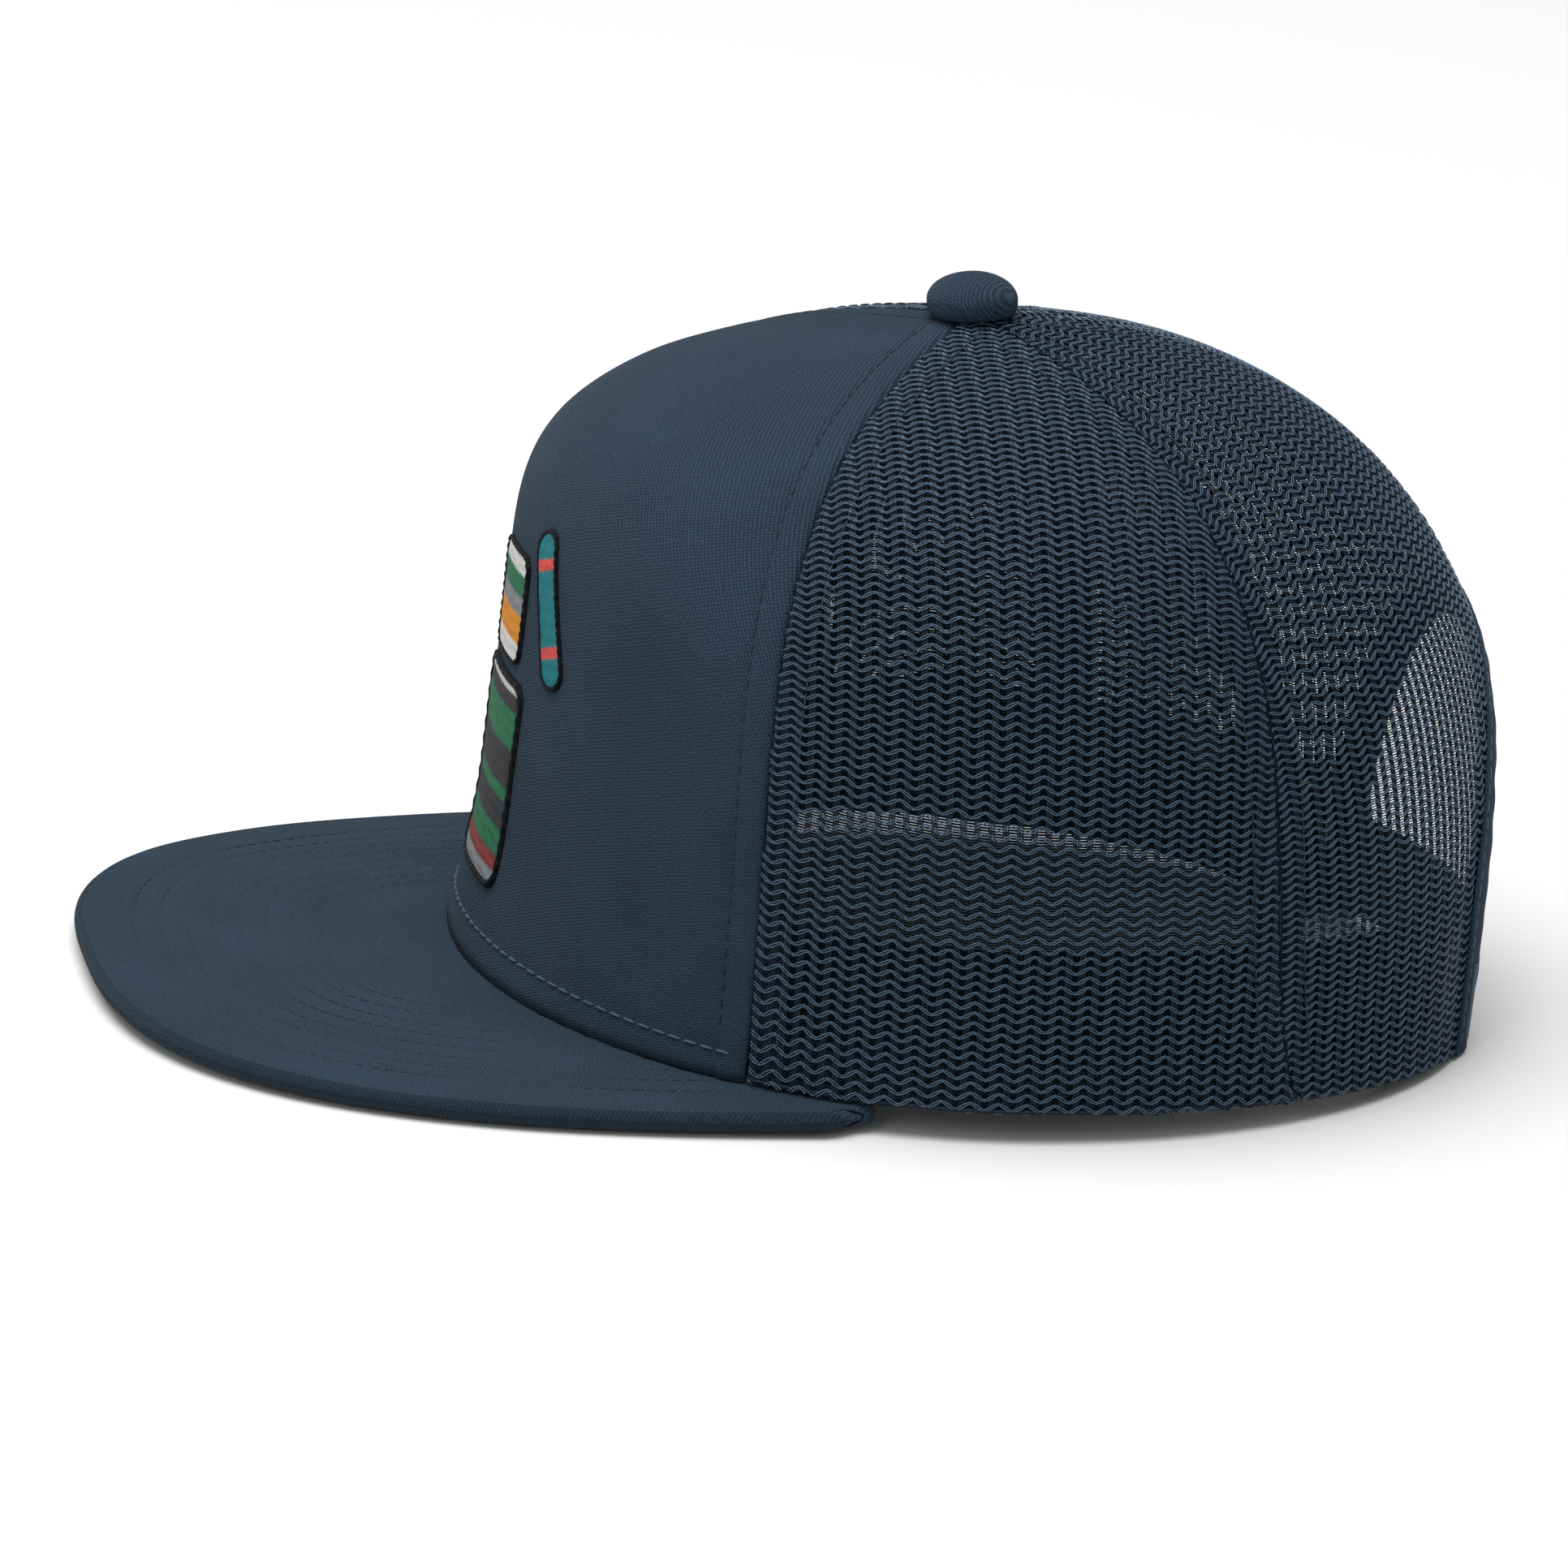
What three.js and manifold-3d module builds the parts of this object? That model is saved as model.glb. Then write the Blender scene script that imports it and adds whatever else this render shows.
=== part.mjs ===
// Trucker mesh cap: a padded-front, mesh-back cap with a flat visor and a plastic snap closure.
// Units are millimetres. +Z is up, -Y is the front (visor) and +X is the wearer's left.
// The origin is the centre of the head opening, on the plane that the cap stands on.
import * as THREE from "three";
import { mergeVertices } from "three/addons/utils/BufferGeometryUtils.js";
import Module from "manifold-3d";

const wasm = await Module();
wasm.setup();

// ---- Driving dimensions -------------------------------------------------------------------

const GAP = 0.3;
const FINE_GAP = 0.15;

// Crown: an egg-shaped head opening, and one profile each for the front, side and back. A profile
// is a quartic curve from the base edge [1, 0] to the button [0, 1]: [share of reach, share of height].
const FRONT_REACH = 92.7;
const BACK_REACH = 105.2;
const HALF_WIDTH = 90.9;
const CROWN_HEIGHT = 130.9;
const APEX_SHIFT = -2.8;
const FRONT_BASE_Z = 6.8;
const SIDE_BASE_Z = 5.2;
const FRONT_PROFILE = [[0.742, 0.717], [1.244, 0.869], [0.38, 0.948]];
const SIDE_PROFILE = [[0.922, 0.396], [1.064, 0.867], [0.396, 0.966]];
const BACK_PROFILE = [[1.06, 0.453], [1.044, 0.911], [0.341, 1.011]];

// Seams, as degrees round the crown from the middle of the front.
const FRONT_SEAM_BASE = 55.8;
const FRONT_SEAM_TOP = 52.8;
const SIDE_SEAM = 115.5;
const SIDE_SEAM_FLARE = 3.5;
const SIDE_SEAM_FLARE_T = 0.07;
const BACK_SEAM = 180;

const PANEL = 0.8;
const BUCKRAM = 1.2;
const TAPE = 0.6;
const TAPE_HALF_WIDTH = 5.5;
const TAPE_HALF_ANGLE = 24;
const SEAM_ALLOWANCE = 0.2;
const CROWN_ROWS = 16;
const CROWN_TOP = 0.983;

// Sweatband: a folded strip of cloth around a soft interlining, open at the rear arch.
const BAND_FACE = -2.7;
const BAND_PLY = 0.6;
const BAND_FILL = 0.8;
const BAND_HEIGHT = 29.5;
const BAND_FOOT = 1;
const BAND_END = 153;
const BAND_STEP_IN = 2.7;
const BAND_STEP_FROM = 133;
const BAND_STEP_TO = 145;
const BAND_STATIONS = 38;

// Rear arch, straight up to its shoulders and then half an ellipse, and the tape that binds its edge.
const ARCH_HALF_WIDTH = 38.5;
const ARCH_SHOULDER = 20;
const ARCH_TOP = 74;
const BINDING_WIDTH = 6.5;
const BINDING_CLOTH = 0.5;

// Visor: a flat board in a cloth cover, with a superelliptical outline.
const VISOR_LENGTH = 69.6;
const VISOR_HALF_WIDTH = 88.5;
const VISOR_WIDEST_Y = -32.5;
const VISOR_POWER = 2.7;
const VISOR_TOP_Z = 6.4;
const VISOR_DROOP = 2.4;
const VISOR_PITCH = -0.012;
const VISOR_SEAM_ANGLE = 71;
const VISOR_TUCK = -2.3;
const VISOR_CLOTH = 0.75;
const VISOR_BOARD_TOP = -1.0;
const VISOR_BOARD_FOOT = -2.9;
const VISOR_THICKNESS = 4.0;

// Button: a cloth-covered metal shell on a rivet through the top of the crown.
const BUTTON_RADIUS = 8.5;
const BUTTON_HEIGHT = 7.7;
const BUTTON_TILT = 5;

// Snap closure: two straps, one with holes over one with pegs, hinged where they leave the crown.
const STRAP_WIDTH = 20;
const STRAP_FOOT = 2;
const STRAP_THICKNESS = 1.2;
const HOLE_STRAP_FACE = -2;
const PEG_STRAP_FACE = -3.5;
const SNAP_PITCH = 5.6;
const SNAP_COUNT = 7;
const FIRST_SNAP = 19.6;
const STRAP_TAIL = 18;
const STRAP_HINGE_X = 36;
const STRAP_HINGE_GAP = 1.0;
const TAB_END = 149;
const HOLE_RADIUS = 2.35;
const PEG_RADIUS = 1.4;
const PEG_STAND = 2.3;

// Embroidery on the front panel: a striped patch, a short bar over it and a slim pill beside it.
const PATCH = { x: 0, z: 41, halfWidth: 14.5, halfHeight: 20, corner: 4, lean: 0 };
const BAR = { x: 0, z: 74, halfWidth: 10, halfHeight: 10.5, corner: 3, lean: 0 };
const PILL = { x: 20.5, z: 78, halfWidth: 3.5, halfHeight: 15, corner: 3.5, lean: -20 };
const EMBROIDERY = 0.7;

// ---- Solids -------------------------------------------------------------------------------

const radians = THREE.MathUtils.degToRad;
const degrees = THREE.MathUtils.radToDeg;

function signedVolume(geometry) {
  const p = geometry.getAttribute("position");
  const index = geometry.index;
  const a = new THREE.Vector3();
  const b = new THREE.Vector3();
  const c = new THREE.Vector3();
  let sum = 0;
  for (let i = 0; i < index.count; i += 3) {
    a.fromBufferAttribute(p, index.getX(i));
    b.fromBufferAttribute(p, index.getX(i + 1));
    c.fromBufferAttribute(p, index.getX(i + 2));
    sum += a.dot(b.cross(c));
  }
  return sum / 6;
}

// A closed body from points and triangles, turned so that its faces point out.
function body(points, triangles) {
  const geometry = new THREE.BufferGeometry().setFromPoints(points);
  geometry.setIndex(triangles);
  if (signedVolume(geometry) < 0) {
    for (let i = 0; i < triangles.length; i += 3) {
      [triangles[i], triangles[i + 1]] = [triangles[i + 1], triangles[i]];
    }
    geometry.setIndex(triangles);
  }
  geometry.computeVertexNormals();
  return geometry;
}

// A curved plate: pointAt(u, v, side) gives both faces, with u and v from 0 to 1 and side 0 or 1.
function plate(pointAt, columns, rows) {
  const points = [];
  const triangles = [];
  const at = (i, j, side) => (side * (rows + 1) + j) * (columns + 1) + i;
  const quad = (a, b, c, d) => triangles.push(a, b, c, a, c, d);
  for (const side of [0, 1]) {
    for (let j = 0; j <= rows; j++) {
      for (let i = 0; i <= columns; i++) points.push(pointAt(i / columns, j / rows, side));
    }
  }
  for (let j = 0; j < rows; j++) {
    for (let i = 0; i < columns; i++) {
      quad(at(i, j, 1), at(i + 1, j, 1), at(i + 1, j + 1, 1), at(i, j + 1, 1));
      quad(at(i, j, 0), at(i, j + 1, 0), at(i + 1, j + 1, 0), at(i + 1, j, 0));
    }
  }
  for (let i = 0; i < columns; i++) {
    quad(at(i, 0, 0), at(i + 1, 0, 0), at(i + 1, 0, 1), at(i, 0, 1));
    quad(at(i, rows, 0), at(i, rows, 1), at(i + 1, rows, 1), at(i + 1, rows, 0));
  }
  for (let j = 0; j < rows; j++) {
    quad(at(0, j, 0), at(0, j, 1), at(0, j + 1, 1), at(0, j + 1, 0));
    quad(at(columns, j, 0), at(columns, j + 1, 0), at(columns, j + 1, 1), at(columns, j, 1));
  }
  return body(points, triangles);
}

// A closed section, given flat as [offset, height], swept through stations and capped at both ends.
function sweep(section, stations, placeAt) {
  const points = [];
  const triangles = [];
  const n = section.length;
  for (let i = 0; i <= stations; i++) {
    for (const [offset, height] of section) points.push(placeAt(i / stations, offset, height));
  }
  for (let i = 0; i < stations; i++) {
    for (let k = 0; k < n; k++) {
      const a = i * n + k;
      const b = i * n + (k + 1) % n;
      triangles.push(a, b, b + n, a, b + n, a + n);
    }
  }
  const flat = section.map(([offset, height]) => new THREE.Vector2(offset, height));
  const clockwise = THREE.ShapeUtils.isClockWise(flat);
  for (const [a, b, c] of THREE.ShapeUtils.triangulateShape(flat, [])) {
    const last = stations * n;
    if (clockwise) {
      triangles.push(a, b, c, last + a, last + c, last + b);
    } else {
      triangles.push(a, c, b, last + a, last + b, last + c);
    }
  }
  return body(points, triangles);
}

function toSolid(geometry) {
  let bare = geometry.clone();
  bare.deleteAttribute("normal");
  bare.deleteAttribute("uv");
  bare = mergeVertices(bare, 1e-4);
  const mesh = new wasm.Mesh({
    numProp: 3,
    vertProperties: new Float32Array(bare.getAttribute("position").array),
    triVerts: new Uint32Array(bare.index.array),
  });
  return new wasm.Manifold(mesh);
}

function fromSolid(solid) {
  const mesh = solid.getMesh();
  const geometry = new THREE.BufferGeometry();
  geometry.setAttribute("position", new THREE.BufferAttribute(mesh.vertProperties, 3));
  geometry.setIndex(Array.from(mesh.triVerts));
  geometry.computeVertexNormals();
  return geometry;
}

// A prism that runs along Y from y0 to y1, from an outline in X and Z.
function prismAlongY(shape, y0, y1, curveSegments) {
  const geometry = new THREE.ExtrudeGeometry(shape, {
    depth: y1 - y0,
    bevelEnabled: false,
    curveSegments,
  });
  geometry.rotateX(Math.PI / 2);
  geometry.translate(0, y1, 0);
  return toSolid(geometry);
}

// ---- Crown surface ------------------------------------------------------------------------

const ARCH_FOOT_ANGLE = 180 - degrees(Math.asin(ARCH_HALF_WIDTH / HALF_WIDTH));

// Height of the base edge: on the visor in front, and down on the table by the foot of the arch.
function baseHeight(theta) {
  const c = Math.cos(radians(theta));
  if (c > 0) return SIDE_BASE_Z + (FRONT_BASE_Z - SIDE_BASE_Z) * c * c;
  const foot = Math.cos(radians(ARCH_FOOT_ANGLE));
  return SIDE_BASE_Z * (1 - (c * c) / (foot * foot));
}

// A point on the outside of the crown: theta in degrees from the front, t from base edge to button.
function crownPoint(theta, t) {
  const s = Math.sin(radians(theta));
  const c = Math.cos(radians(theta));
  const front = Math.max(c, 0) ** 2;
  const back = Math.min(c, 0) ** 2;
  const side = 1 - front - back;
  const u = 1 - t;
  const weights = [4 * u ** 3 * t, 6 * u * u * t * t, 4 * u * t ** 3];
  let reach = u ** 4;
  let rise = t ** 4;
  weights.forEach((w, i) => {
    reach += w * (front * FRONT_PROFILE[i][0] + side * SIDE_PROFILE[i][0] + back * BACK_PROFILE[i][0]);
    rise += w * (front * FRONT_PROFILE[i][1] + side * SIDE_PROFILE[i][1] + back * BACK_PROFILE[i][1]);
  });
  const depth = c > 0 ? FRONT_REACH : BACK_REACH;
  const base = baseHeight(theta);
  return new THREE.Vector3(
    reach * HALF_WIDTH * s,
    -reach * depth * c + APEX_SHIFT * rise,
    base + (CROWN_HEIGHT - base) * rise,
  );
}

function crownNormal(theta, t) {
  const dTheta = 0.5;
  const dT = 0.004;
  const round = crownPoint(theta + dTheta, t).sub(crownPoint(theta - dTheta, t));
  const up = crownPoint(theta, Math.min(t + dT, 1)).sub(crownPoint(theta, t - dT));
  return round.cross(up).normalize();
}

// A point that stands off the crown's outside: positive offsets are outward.
function crownOffset(theta, t, offset) {
  return crownPoint(theta, t).addScaledVector(crownNormal(theta, t), offset);
}

// The t at which the crown reaches a height, for a given angle.
function crownAtHeight(theta, z) {
  let low = 0;
  let high = 0.9;
  for (let i = 0; i < 40; i++) {
    const middle = (low + high) / 2;
    if (crownPoint(theta, middle).z < z) low = middle;
    else high = middle;
  }
  return (low + high) / 2;
}

// Degrees round the crown that a distance covers at this place.
function angleOf(distance, theta, t) {
  return distance / crownPoint(theta - 0.5, t).distanceTo(crownPoint(theta + 0.5, t));
}

const frontSeam = (t) => FRONT_SEAM_BASE + (FRONT_SEAM_TOP - FRONT_SEAM_BASE) * t;
const sideSeam = (t) => SIDE_SEAM + SIDE_SEAM_FLARE * Math.exp(-t / SIDE_SEAM_FLARE_T);
const backSeam = () => BACK_SEAM;

// Part of the crown's wall, between two angles that may change with t, and between two offsets.
function wall({ from, to, low = 0, high = CROWN_TOP, outer, inner, columns, rows = CROWN_ROWS }) {
  return plate((u, v, side) => {
    const t = low + (high - low) * v;
    return crownOffset(from(t) + (to(t) - from(t)) * u, t, side ? outer : inner);
  }, columns, rows);
}

// ---- Crown pieces -------------------------------------------------------------------------

// side is +1 for the wearer's left and -1 for the right.
function panelBetween(nearSeam, farSeam, side, columns) {
  const inset = (seam, sign) => (t) => {
    const theta = seam(t);
    return side * (theta + sign * angleOf(SEAM_ALLOWANCE, theta, t));
  };
  return wall({
    from: inset(nearSeam, 1),
    to: inset(farSeam, -1),
    outer: 0,
    inner: -PANEL,
    columns,
  });
}

function frontPanel() {
  const edge = (t) => frontSeam(t) - angleOf(SEAM_ALLOWANCE, frontSeam(t), t);
  return wall({ from: (t) => -edge(t), to: edge, outer: 0, inner: -PANEL, columns: 20 });
}

function tapeHalfAngle(seam, t) {
  return Math.min(angleOf(TAPE_HALF_WIDTH, seam(t), t), TAPE_HALF_ANGLE);
}

function frontBuckram() {
  const edge = (t) => frontSeam(t) - tapeHalfAngle(frontSeam, t) - angleOf(GAP, frontSeam(t), t);
  const face = -PANEL - GAP;
  return wall({
    from: (t) => -edge(t),
    to: edge,
    low: CROWN_TOP / CROWN_ROWS / 2,
    high: CROWN_TOP * 14.5 / CROWN_ROWS,
    outer: face,
    inner: face - BUCKRAM,
    columns: 14,
    rows: 14,
  });
}

function seamTape(seam, side, firstRow) {
  const face = -PANEL - GAP;
  return wall({
    from: (t) => side * seam(t) - tapeHalfAngle(seam, t),
    to: (t) => side * seam(t) + tapeHalfAngle(seam, t),
    low: CROWN_TOP * firstRow / CROWN_ROWS,
    high: CROWN_TOP * (1 - 0.5 / CROWN_ROWS),
    outer: face,
    inner: face - TAPE,
    columns: 2,
    rows: CROWN_ROWS - Math.round(firstRow),
  });
}

// The arch outline grown by a margin, as a prism through the back of the crown.
function archPrism(margin) {
  const shape = new THREE.Shape();
  const half = ARCH_HALF_WIDTH + margin;
  const below = -20;
  shape.moveTo(-half, below);
  shape.lineTo(half, below);
  shape.lineTo(half, ARCH_SHOULDER);
  shape.absellipse(0, ARCH_SHOULDER, half, ARCH_TOP - ARCH_SHOULDER + margin, 0, Math.PI, false, 0);
  return prismAlongY(shape, 40, 140, 14);
}

function backMeshPanel(side) {
  const whole = toSolid(panelBetween(sideSeam, backSeam, side, 13));
  return fromSolid(whole.subtract(archPrism(0)));
}

function archBinding() {
  const reach = ARCH_FOOT_ANGLE - 8;
  const rows = CROWN_ROWS / 2;
  const high = CROWN_TOP * rows / CROWN_ROWS;
  const region = (outer, inner, foot) => toSolid(plate((u, v, side) => {
    const theta = reach + (360 - 2 * reach) * u;
    const t = v > 0 ? high * v : foot;
    return crownOffset(theta, t, side ? outer : inner);
  }, 14, rows));
  const slotOuter = GAP + 0.05;
  const slotInner = -PANEL - slotOuter;
  const cloth = region(slotOuter + BINDING_CLOTH, slotInner - BINDING_CLOTH, 0);
  const slot = region(slotOuter, slotInner, -0.03).subtract(archPrism(-GAP));
  return fromSolid(cloth
    .intersect(archPrism(BINDING_WIDTH))
    .subtract(archPrism(-GAP - BINDING_CLOTH))
    .subtract(slot));
}

// ---- Sweatband ----------------------------------------------------------------------------

// Follows the inside of the crown at a height above its base edge, round the front from arch to arch.
// Near the arch it steps in, to pass inside the sewn ends of the straps.
function alongBand(u, offset, height) {
  const theta = BAND_END * (2 * u - 1);
  const t = crownAtHeight(theta, baseHeight(theta) + height);
  const stepIn = BAND_STEP_IN * THREE.MathUtils.smoothstep(Math.abs(theta), BAND_STEP_FROM, BAND_STEP_TO);
  return crownOffset(theta, t, offset - stepIn);
}

function sweatband() {
  const outside = BAND_FACE;
  const fillOutside = BAND_FACE - BAND_PLY;
  const fillInside = fillOutside - BAND_FILL - 2 * GAP;
  const inside = fillInside - BAND_PLY;
  const middle = BAND_HEIGHT / 2;
  const top = BAND_HEIGHT;
  const fold = BAND_HEIGHT - BAND_PLY;
  const section = [
    [outside, BAND_FOOT], [outside, middle], [outside, top],
    [inside, top], [inside, middle], [inside, BAND_FOOT],
    [fillInside, BAND_FOOT], [fillInside, middle], [fillInside, fold],
    [fillOutside, fold], [fillOutside, middle], [fillOutside, BAND_FOOT],
  ];
  return sweep(section, BAND_STATIONS, alongBand);
}

function sweatbandInterlining() {
  const outside = BAND_FACE - BAND_PLY - GAP;
  const inside = outside - BAND_FILL;
  const foot = BAND_FOOT + 2;
  const middle = BAND_HEIGHT / 2;
  const top = BAND_HEIGHT - BAND_PLY - GAP;
  const section = [[outside, foot], [outside, middle], [outside, top], [inside, top], [inside, middle], [inside, foot]];
  return sweep(section, BAND_STATIONS, alongBand);
}

// ---- Visor --------------------------------------------------------------------------------

function visorHeight(x, y) {
  return VISOR_TOP_Z - VISOR_DROOP * (x / HALF_WIDTH) ** 2 + VISOR_PITCH * (-y - FRONT_REACH);
}

// The free edge, for s from -1 to 1, moved in by an inset.
function visorEdge(s, inset) {
  const at = (q) => {
    const angle = q * Math.PI / 2;
    const power = 2 / VISOR_POWER;
    const across = Math.sign(q) * Math.abs(Math.sin(angle)) ** power;
    const forward = Math.max(Math.cos(angle), 0) ** power;
    const reach = FRONT_REACH + VISOR_LENGTH + VISOR_WIDEST_Y;
    return new THREE.Vector2(VISOR_HALF_WIDTH * across, VISOR_WIDEST_Y - reach * forward);
  };
  const step = 0.02;
  const along = at(Math.min(s + step, 1)).sub(at(Math.max(s - step, -1))).normalize();
  return at(s).add(new THREE.Vector2(-along.y, along.x).multiplyScalar(inset));
}

// The edge that is sewn to the crown, tucked in under the front panel.
function visorRoot(s) {
  const p = crownOffset(VISOR_SEAM_ANGLE * s, 0, VISOR_TUCK);
  return new THREE.Vector2(p.x, p.y);
}

// A layer of the visor between two depths below its top face. It is inset from the free edge and
// from the rear corners, and start below 0 carries it past the sewn edge.
function visorLayer({ top, foot, inset = 0, start = 0 }) {
  return plate((u, v, side) => {
    const s = 2 * u - 1;
    const p = visorRoot(s).lerp(visorEdge(s, inset), start + (1 - start) * v);
    if (Math.abs(s) === 1) p.y -= inset;
    return new THREE.Vector3(p.x, p.y, visorHeight(p.x, p.y) + (side ? top : foot));
  }, 21, 3);
}

function visorTopCloth() {
  const whole = toSolid(visorLayer({ top: 0, foot: VISOR_BOARD_FOOT }));
  const hollow = toSolid(visorLayer({
    top: -VISOR_CLOTH,
    foot: -2 * VISOR_THICKNESS,
    inset: VISOR_CLOTH,
    start: -0.1,
  }));
  return fromSolid(whole.subtract(hollow));
}

const visorBoard = () => visorLayer({
  top: VISOR_BOARD_TOP,
  foot: VISOR_BOARD_FOOT,
  inset: VISOR_CLOTH + GAP,
});

const visorUnderCloth = () => visorLayer({ top: VISOR_BOARD_FOOT - GAP, foot: -VISOR_THICKNESS });

// ---- Button -------------------------------------------------------------------------------

// A turned piece about Z, from its section as [radius, height], given anticlockwise.
function lathe(profile, segments) {
  const outline = profile.map(([r, z]) => new THREE.Vector2(r, z)).reverse();
  return new THREE.LatheGeometry(outline, segments).rotateX(Math.PI / 2);
}

// Points on a quarter of a flattened dome, from its top on the axis down to its widest place.
function domeArc(radius, waist, top, steps) {
  return Array.from({ length: steps + 1 }, (_, i) => {
    const angle = (i / steps) * Math.PI / 2;
    return [radius * Math.sin(angle), waist + (top - waist) * Math.cos(angle)];
  });
}

const BUTTON_WAIST = 2.8;
const BUTTON_CLOTH = 0.6;
const BUTTON_METAL = 0.5;

function buttonCover() {
  const inner = BUTTON_RADIUS - BUTTON_CLOTH;
  const outside = domeArc(BUTTON_RADIUS, BUTTON_WAIST, BUTTON_HEIGHT, 5);
  const inside = domeArc(inner, BUTTON_WAIST, BUTTON_HEIGHT - BUTTON_CLOTH, 5).reverse();
  const turnIn = inner - 1.6;
  const hem = [[BUTTON_RADIUS - 0.3, GAP + 0.3], [BUTTON_RADIUS - 0.6, GAP], [turnIn, GAP],
    [turnIn, GAP + BUTTON_CLOTH], [inner - 0.3, GAP + BUTTON_CLOTH]];
  return lathe([...outside, ...hem, ...inside], 18);
}

function buttonShell() {
  const outer = BUTTON_RADIUS - BUTTON_CLOTH - GAP;
  const top = BUTTON_HEIGHT - BUTTON_CLOTH - GAP;
  const foot = 2 * GAP + BUTTON_CLOTH;
  const outside = domeArc(outer, BUTTON_WAIST, top, 5);
  const inside = domeArc(outer - BUTTON_METAL, BUTTON_WAIST, top - BUTTON_METAL, 5).reverse();
  return lathe([...outside, [outer - 0.3, foot], [outer - 0.3 - BUTTON_METAL, foot], ...inside], 14);
}

function buttonRivet() {
  const head = 5.2;
  const shank = 1.5;
  const flare = 2.3;
  return lathe([[0, 1.9], [head, 1.9], [head, 1.4], [shank, 1.4], [shank, -4], [flare, -4.2],
    [flare, -4.7], [0, -4.7]], 12);
}

function buttonWasher() {
  return lathe([[1.8, -3.1], [6.3, -3.1], [6.3, -3.6], [1.8, -3.6], [1.8, -3.1]], 12);
}

// ---- Snap closure -------------------------------------------------------------------------

// Where a strap runs: phi in degrees from the middle of the back towards the wearer's left. The
// straps stand upright and follow the head opening, offset inward.
function strapPoint(phi, offset, z) {
  const s = Math.sin(radians(phi));
  const c = Math.cos(radians(phi));
  const normal = strapNormal(phi);
  return new THREE.Vector3(HALF_WIDTH * s, BACK_REACH * c, z).addScaledVector(normal, offset);
}

function strapNormal(phi) {
  const s = Math.sin(radians(phi));
  const c = Math.cos(radians(phi));
  return new THREE.Vector3(s / HALF_WIDTH, c / BACK_REACH, 0).normalize();
}

// The phi at which a strap's middle is a given distance to the wearer's left of centre.
function phiAtX(x, offset) {
  let low = -40;
  let high = 40;
  for (let i = 0; i < 40; i++) {
    const middle = (low + high) / 2;
    if (strapPoint(middle, offset, 0).x < x) low = middle;
    else high = middle;
  }
  return (low + high) / 2;
}

function strapStrip(phiFrom, phiTo, face, columns) {
  return plate((u, v, side) => strapPoint(
    phiFrom + (phiTo - phiFrom) * u,
    side ? face : face - STRAP_THICKNESS,
    STRAP_FOOT + STRAP_WIDTH * v,
  ), columns, 1);
}

// A round bar along the strap's normal at phi, between two offsets.
function snapBar(phi, radius, from, to) {
  const bar = new THREE.CylinderGeometry(radius, radius, to - from, 12);
  const turn = new THREE.Quaternion().setFromUnitVectors(new THREE.Vector3(0, 1, 0), strapNormal(phi));
  bar.applyQuaternion(turn);
  const centre = strapPoint(phi, (from + to) / 2, STRAP_FOOT + STRAP_WIDTH / 2);
  bar.translate(centre.x, centre.y, centre.z);
  return toSolid(bar);
}

// Rounds a strap's free end: keeps what is inside an outline with a half-round tail at xTail.
function roundTail(solid, xTail) {
  const side = Math.sign(xTail);
  const radius = 7;
  const far = -side * 60;
  const low = STRAP_FOOT - 1e-3;
  const high = STRAP_FOOT + STRAP_WIDTH + 1e-3;
  const shape = new THREE.Shape();
  shape.moveTo(far, low);
  shape.lineTo(xTail - side * radius, low);
  shape.quadraticCurveTo(xTail, low, xTail, low + radius);
  shape.lineTo(xTail, high - radius);
  shape.quadraticCurveTo(xTail, high, xTail - side * radius, high);
  shape.lineTo(far, high);
  return solid.intersect(prismAlongY(shape, 60, 130, 5));
}

// side is the side on which the strap is sewn: +1 for the wearer's left.
function strap({ side, face, holes }) {
  const hinge = phiAtX(side * STRAP_HINGE_X, face - STRAP_THICKNESS / 2);
  const start = hinge - side * degrees(STRAP_HINGE_GAP / 2 / HALF_WIDTH);
  const tail = -side * STRAP_TAIL;
  let solid = toSolid(strapStrip(start, tail - side, face, 12));
  solid = roundTail(solid, strapPoint(tail, face, 0).x);
  for (let i = 0; i < SNAP_COUNT; i++) {
    const phi = side * (FIRST_SNAP - SNAP_PITCH * i);
    if (holes) {
      solid = solid.subtract(snapBar(phi, HOLE_RADIUS, face - STRAP_THICKNESS - 1, face + 1));
    } else {
      solid = solid.add(snapBar(phi, PEG_RADIUS, face - STRAP_THICKNESS / 2, face + PEG_STAND));
    }
  }
  return fromSolid(solid);
}

// The end of a strap that is sewn in behind the back panel.
function strapTab(side, face) {
  const hinge = phiAtX(side * STRAP_HINGE_X, face - STRAP_THICKNESS / 2);
  const start = hinge + side * degrees(STRAP_HINGE_GAP / 2 / HALF_WIDTH);
  return strapStrip(start, side * (180 - TAB_END), face, 2);
}

// A dense bar of thread that holds a tab, on the outside of the arch binding.
function strapStitch(side) {
  const middle = ARCH_FOOT_ANGLE - 2;
  const halfAngle = 0.7;
  const face = GAP + 0.05 + BINDING_CLOTH + FINE_GAP;
  return plate((u, v, outside) => {
    const theta = middle - halfAngle + 2 * halfAngle * u;
    const t = crownAtHeight(theta, 3 + 15 * v);
    return crownOffset(side * theta, t, outside ? face + 0.5 : face);
  }, 1, 3);
}

// ---- Embroidery ---------------------------------------------------------------------------

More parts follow.
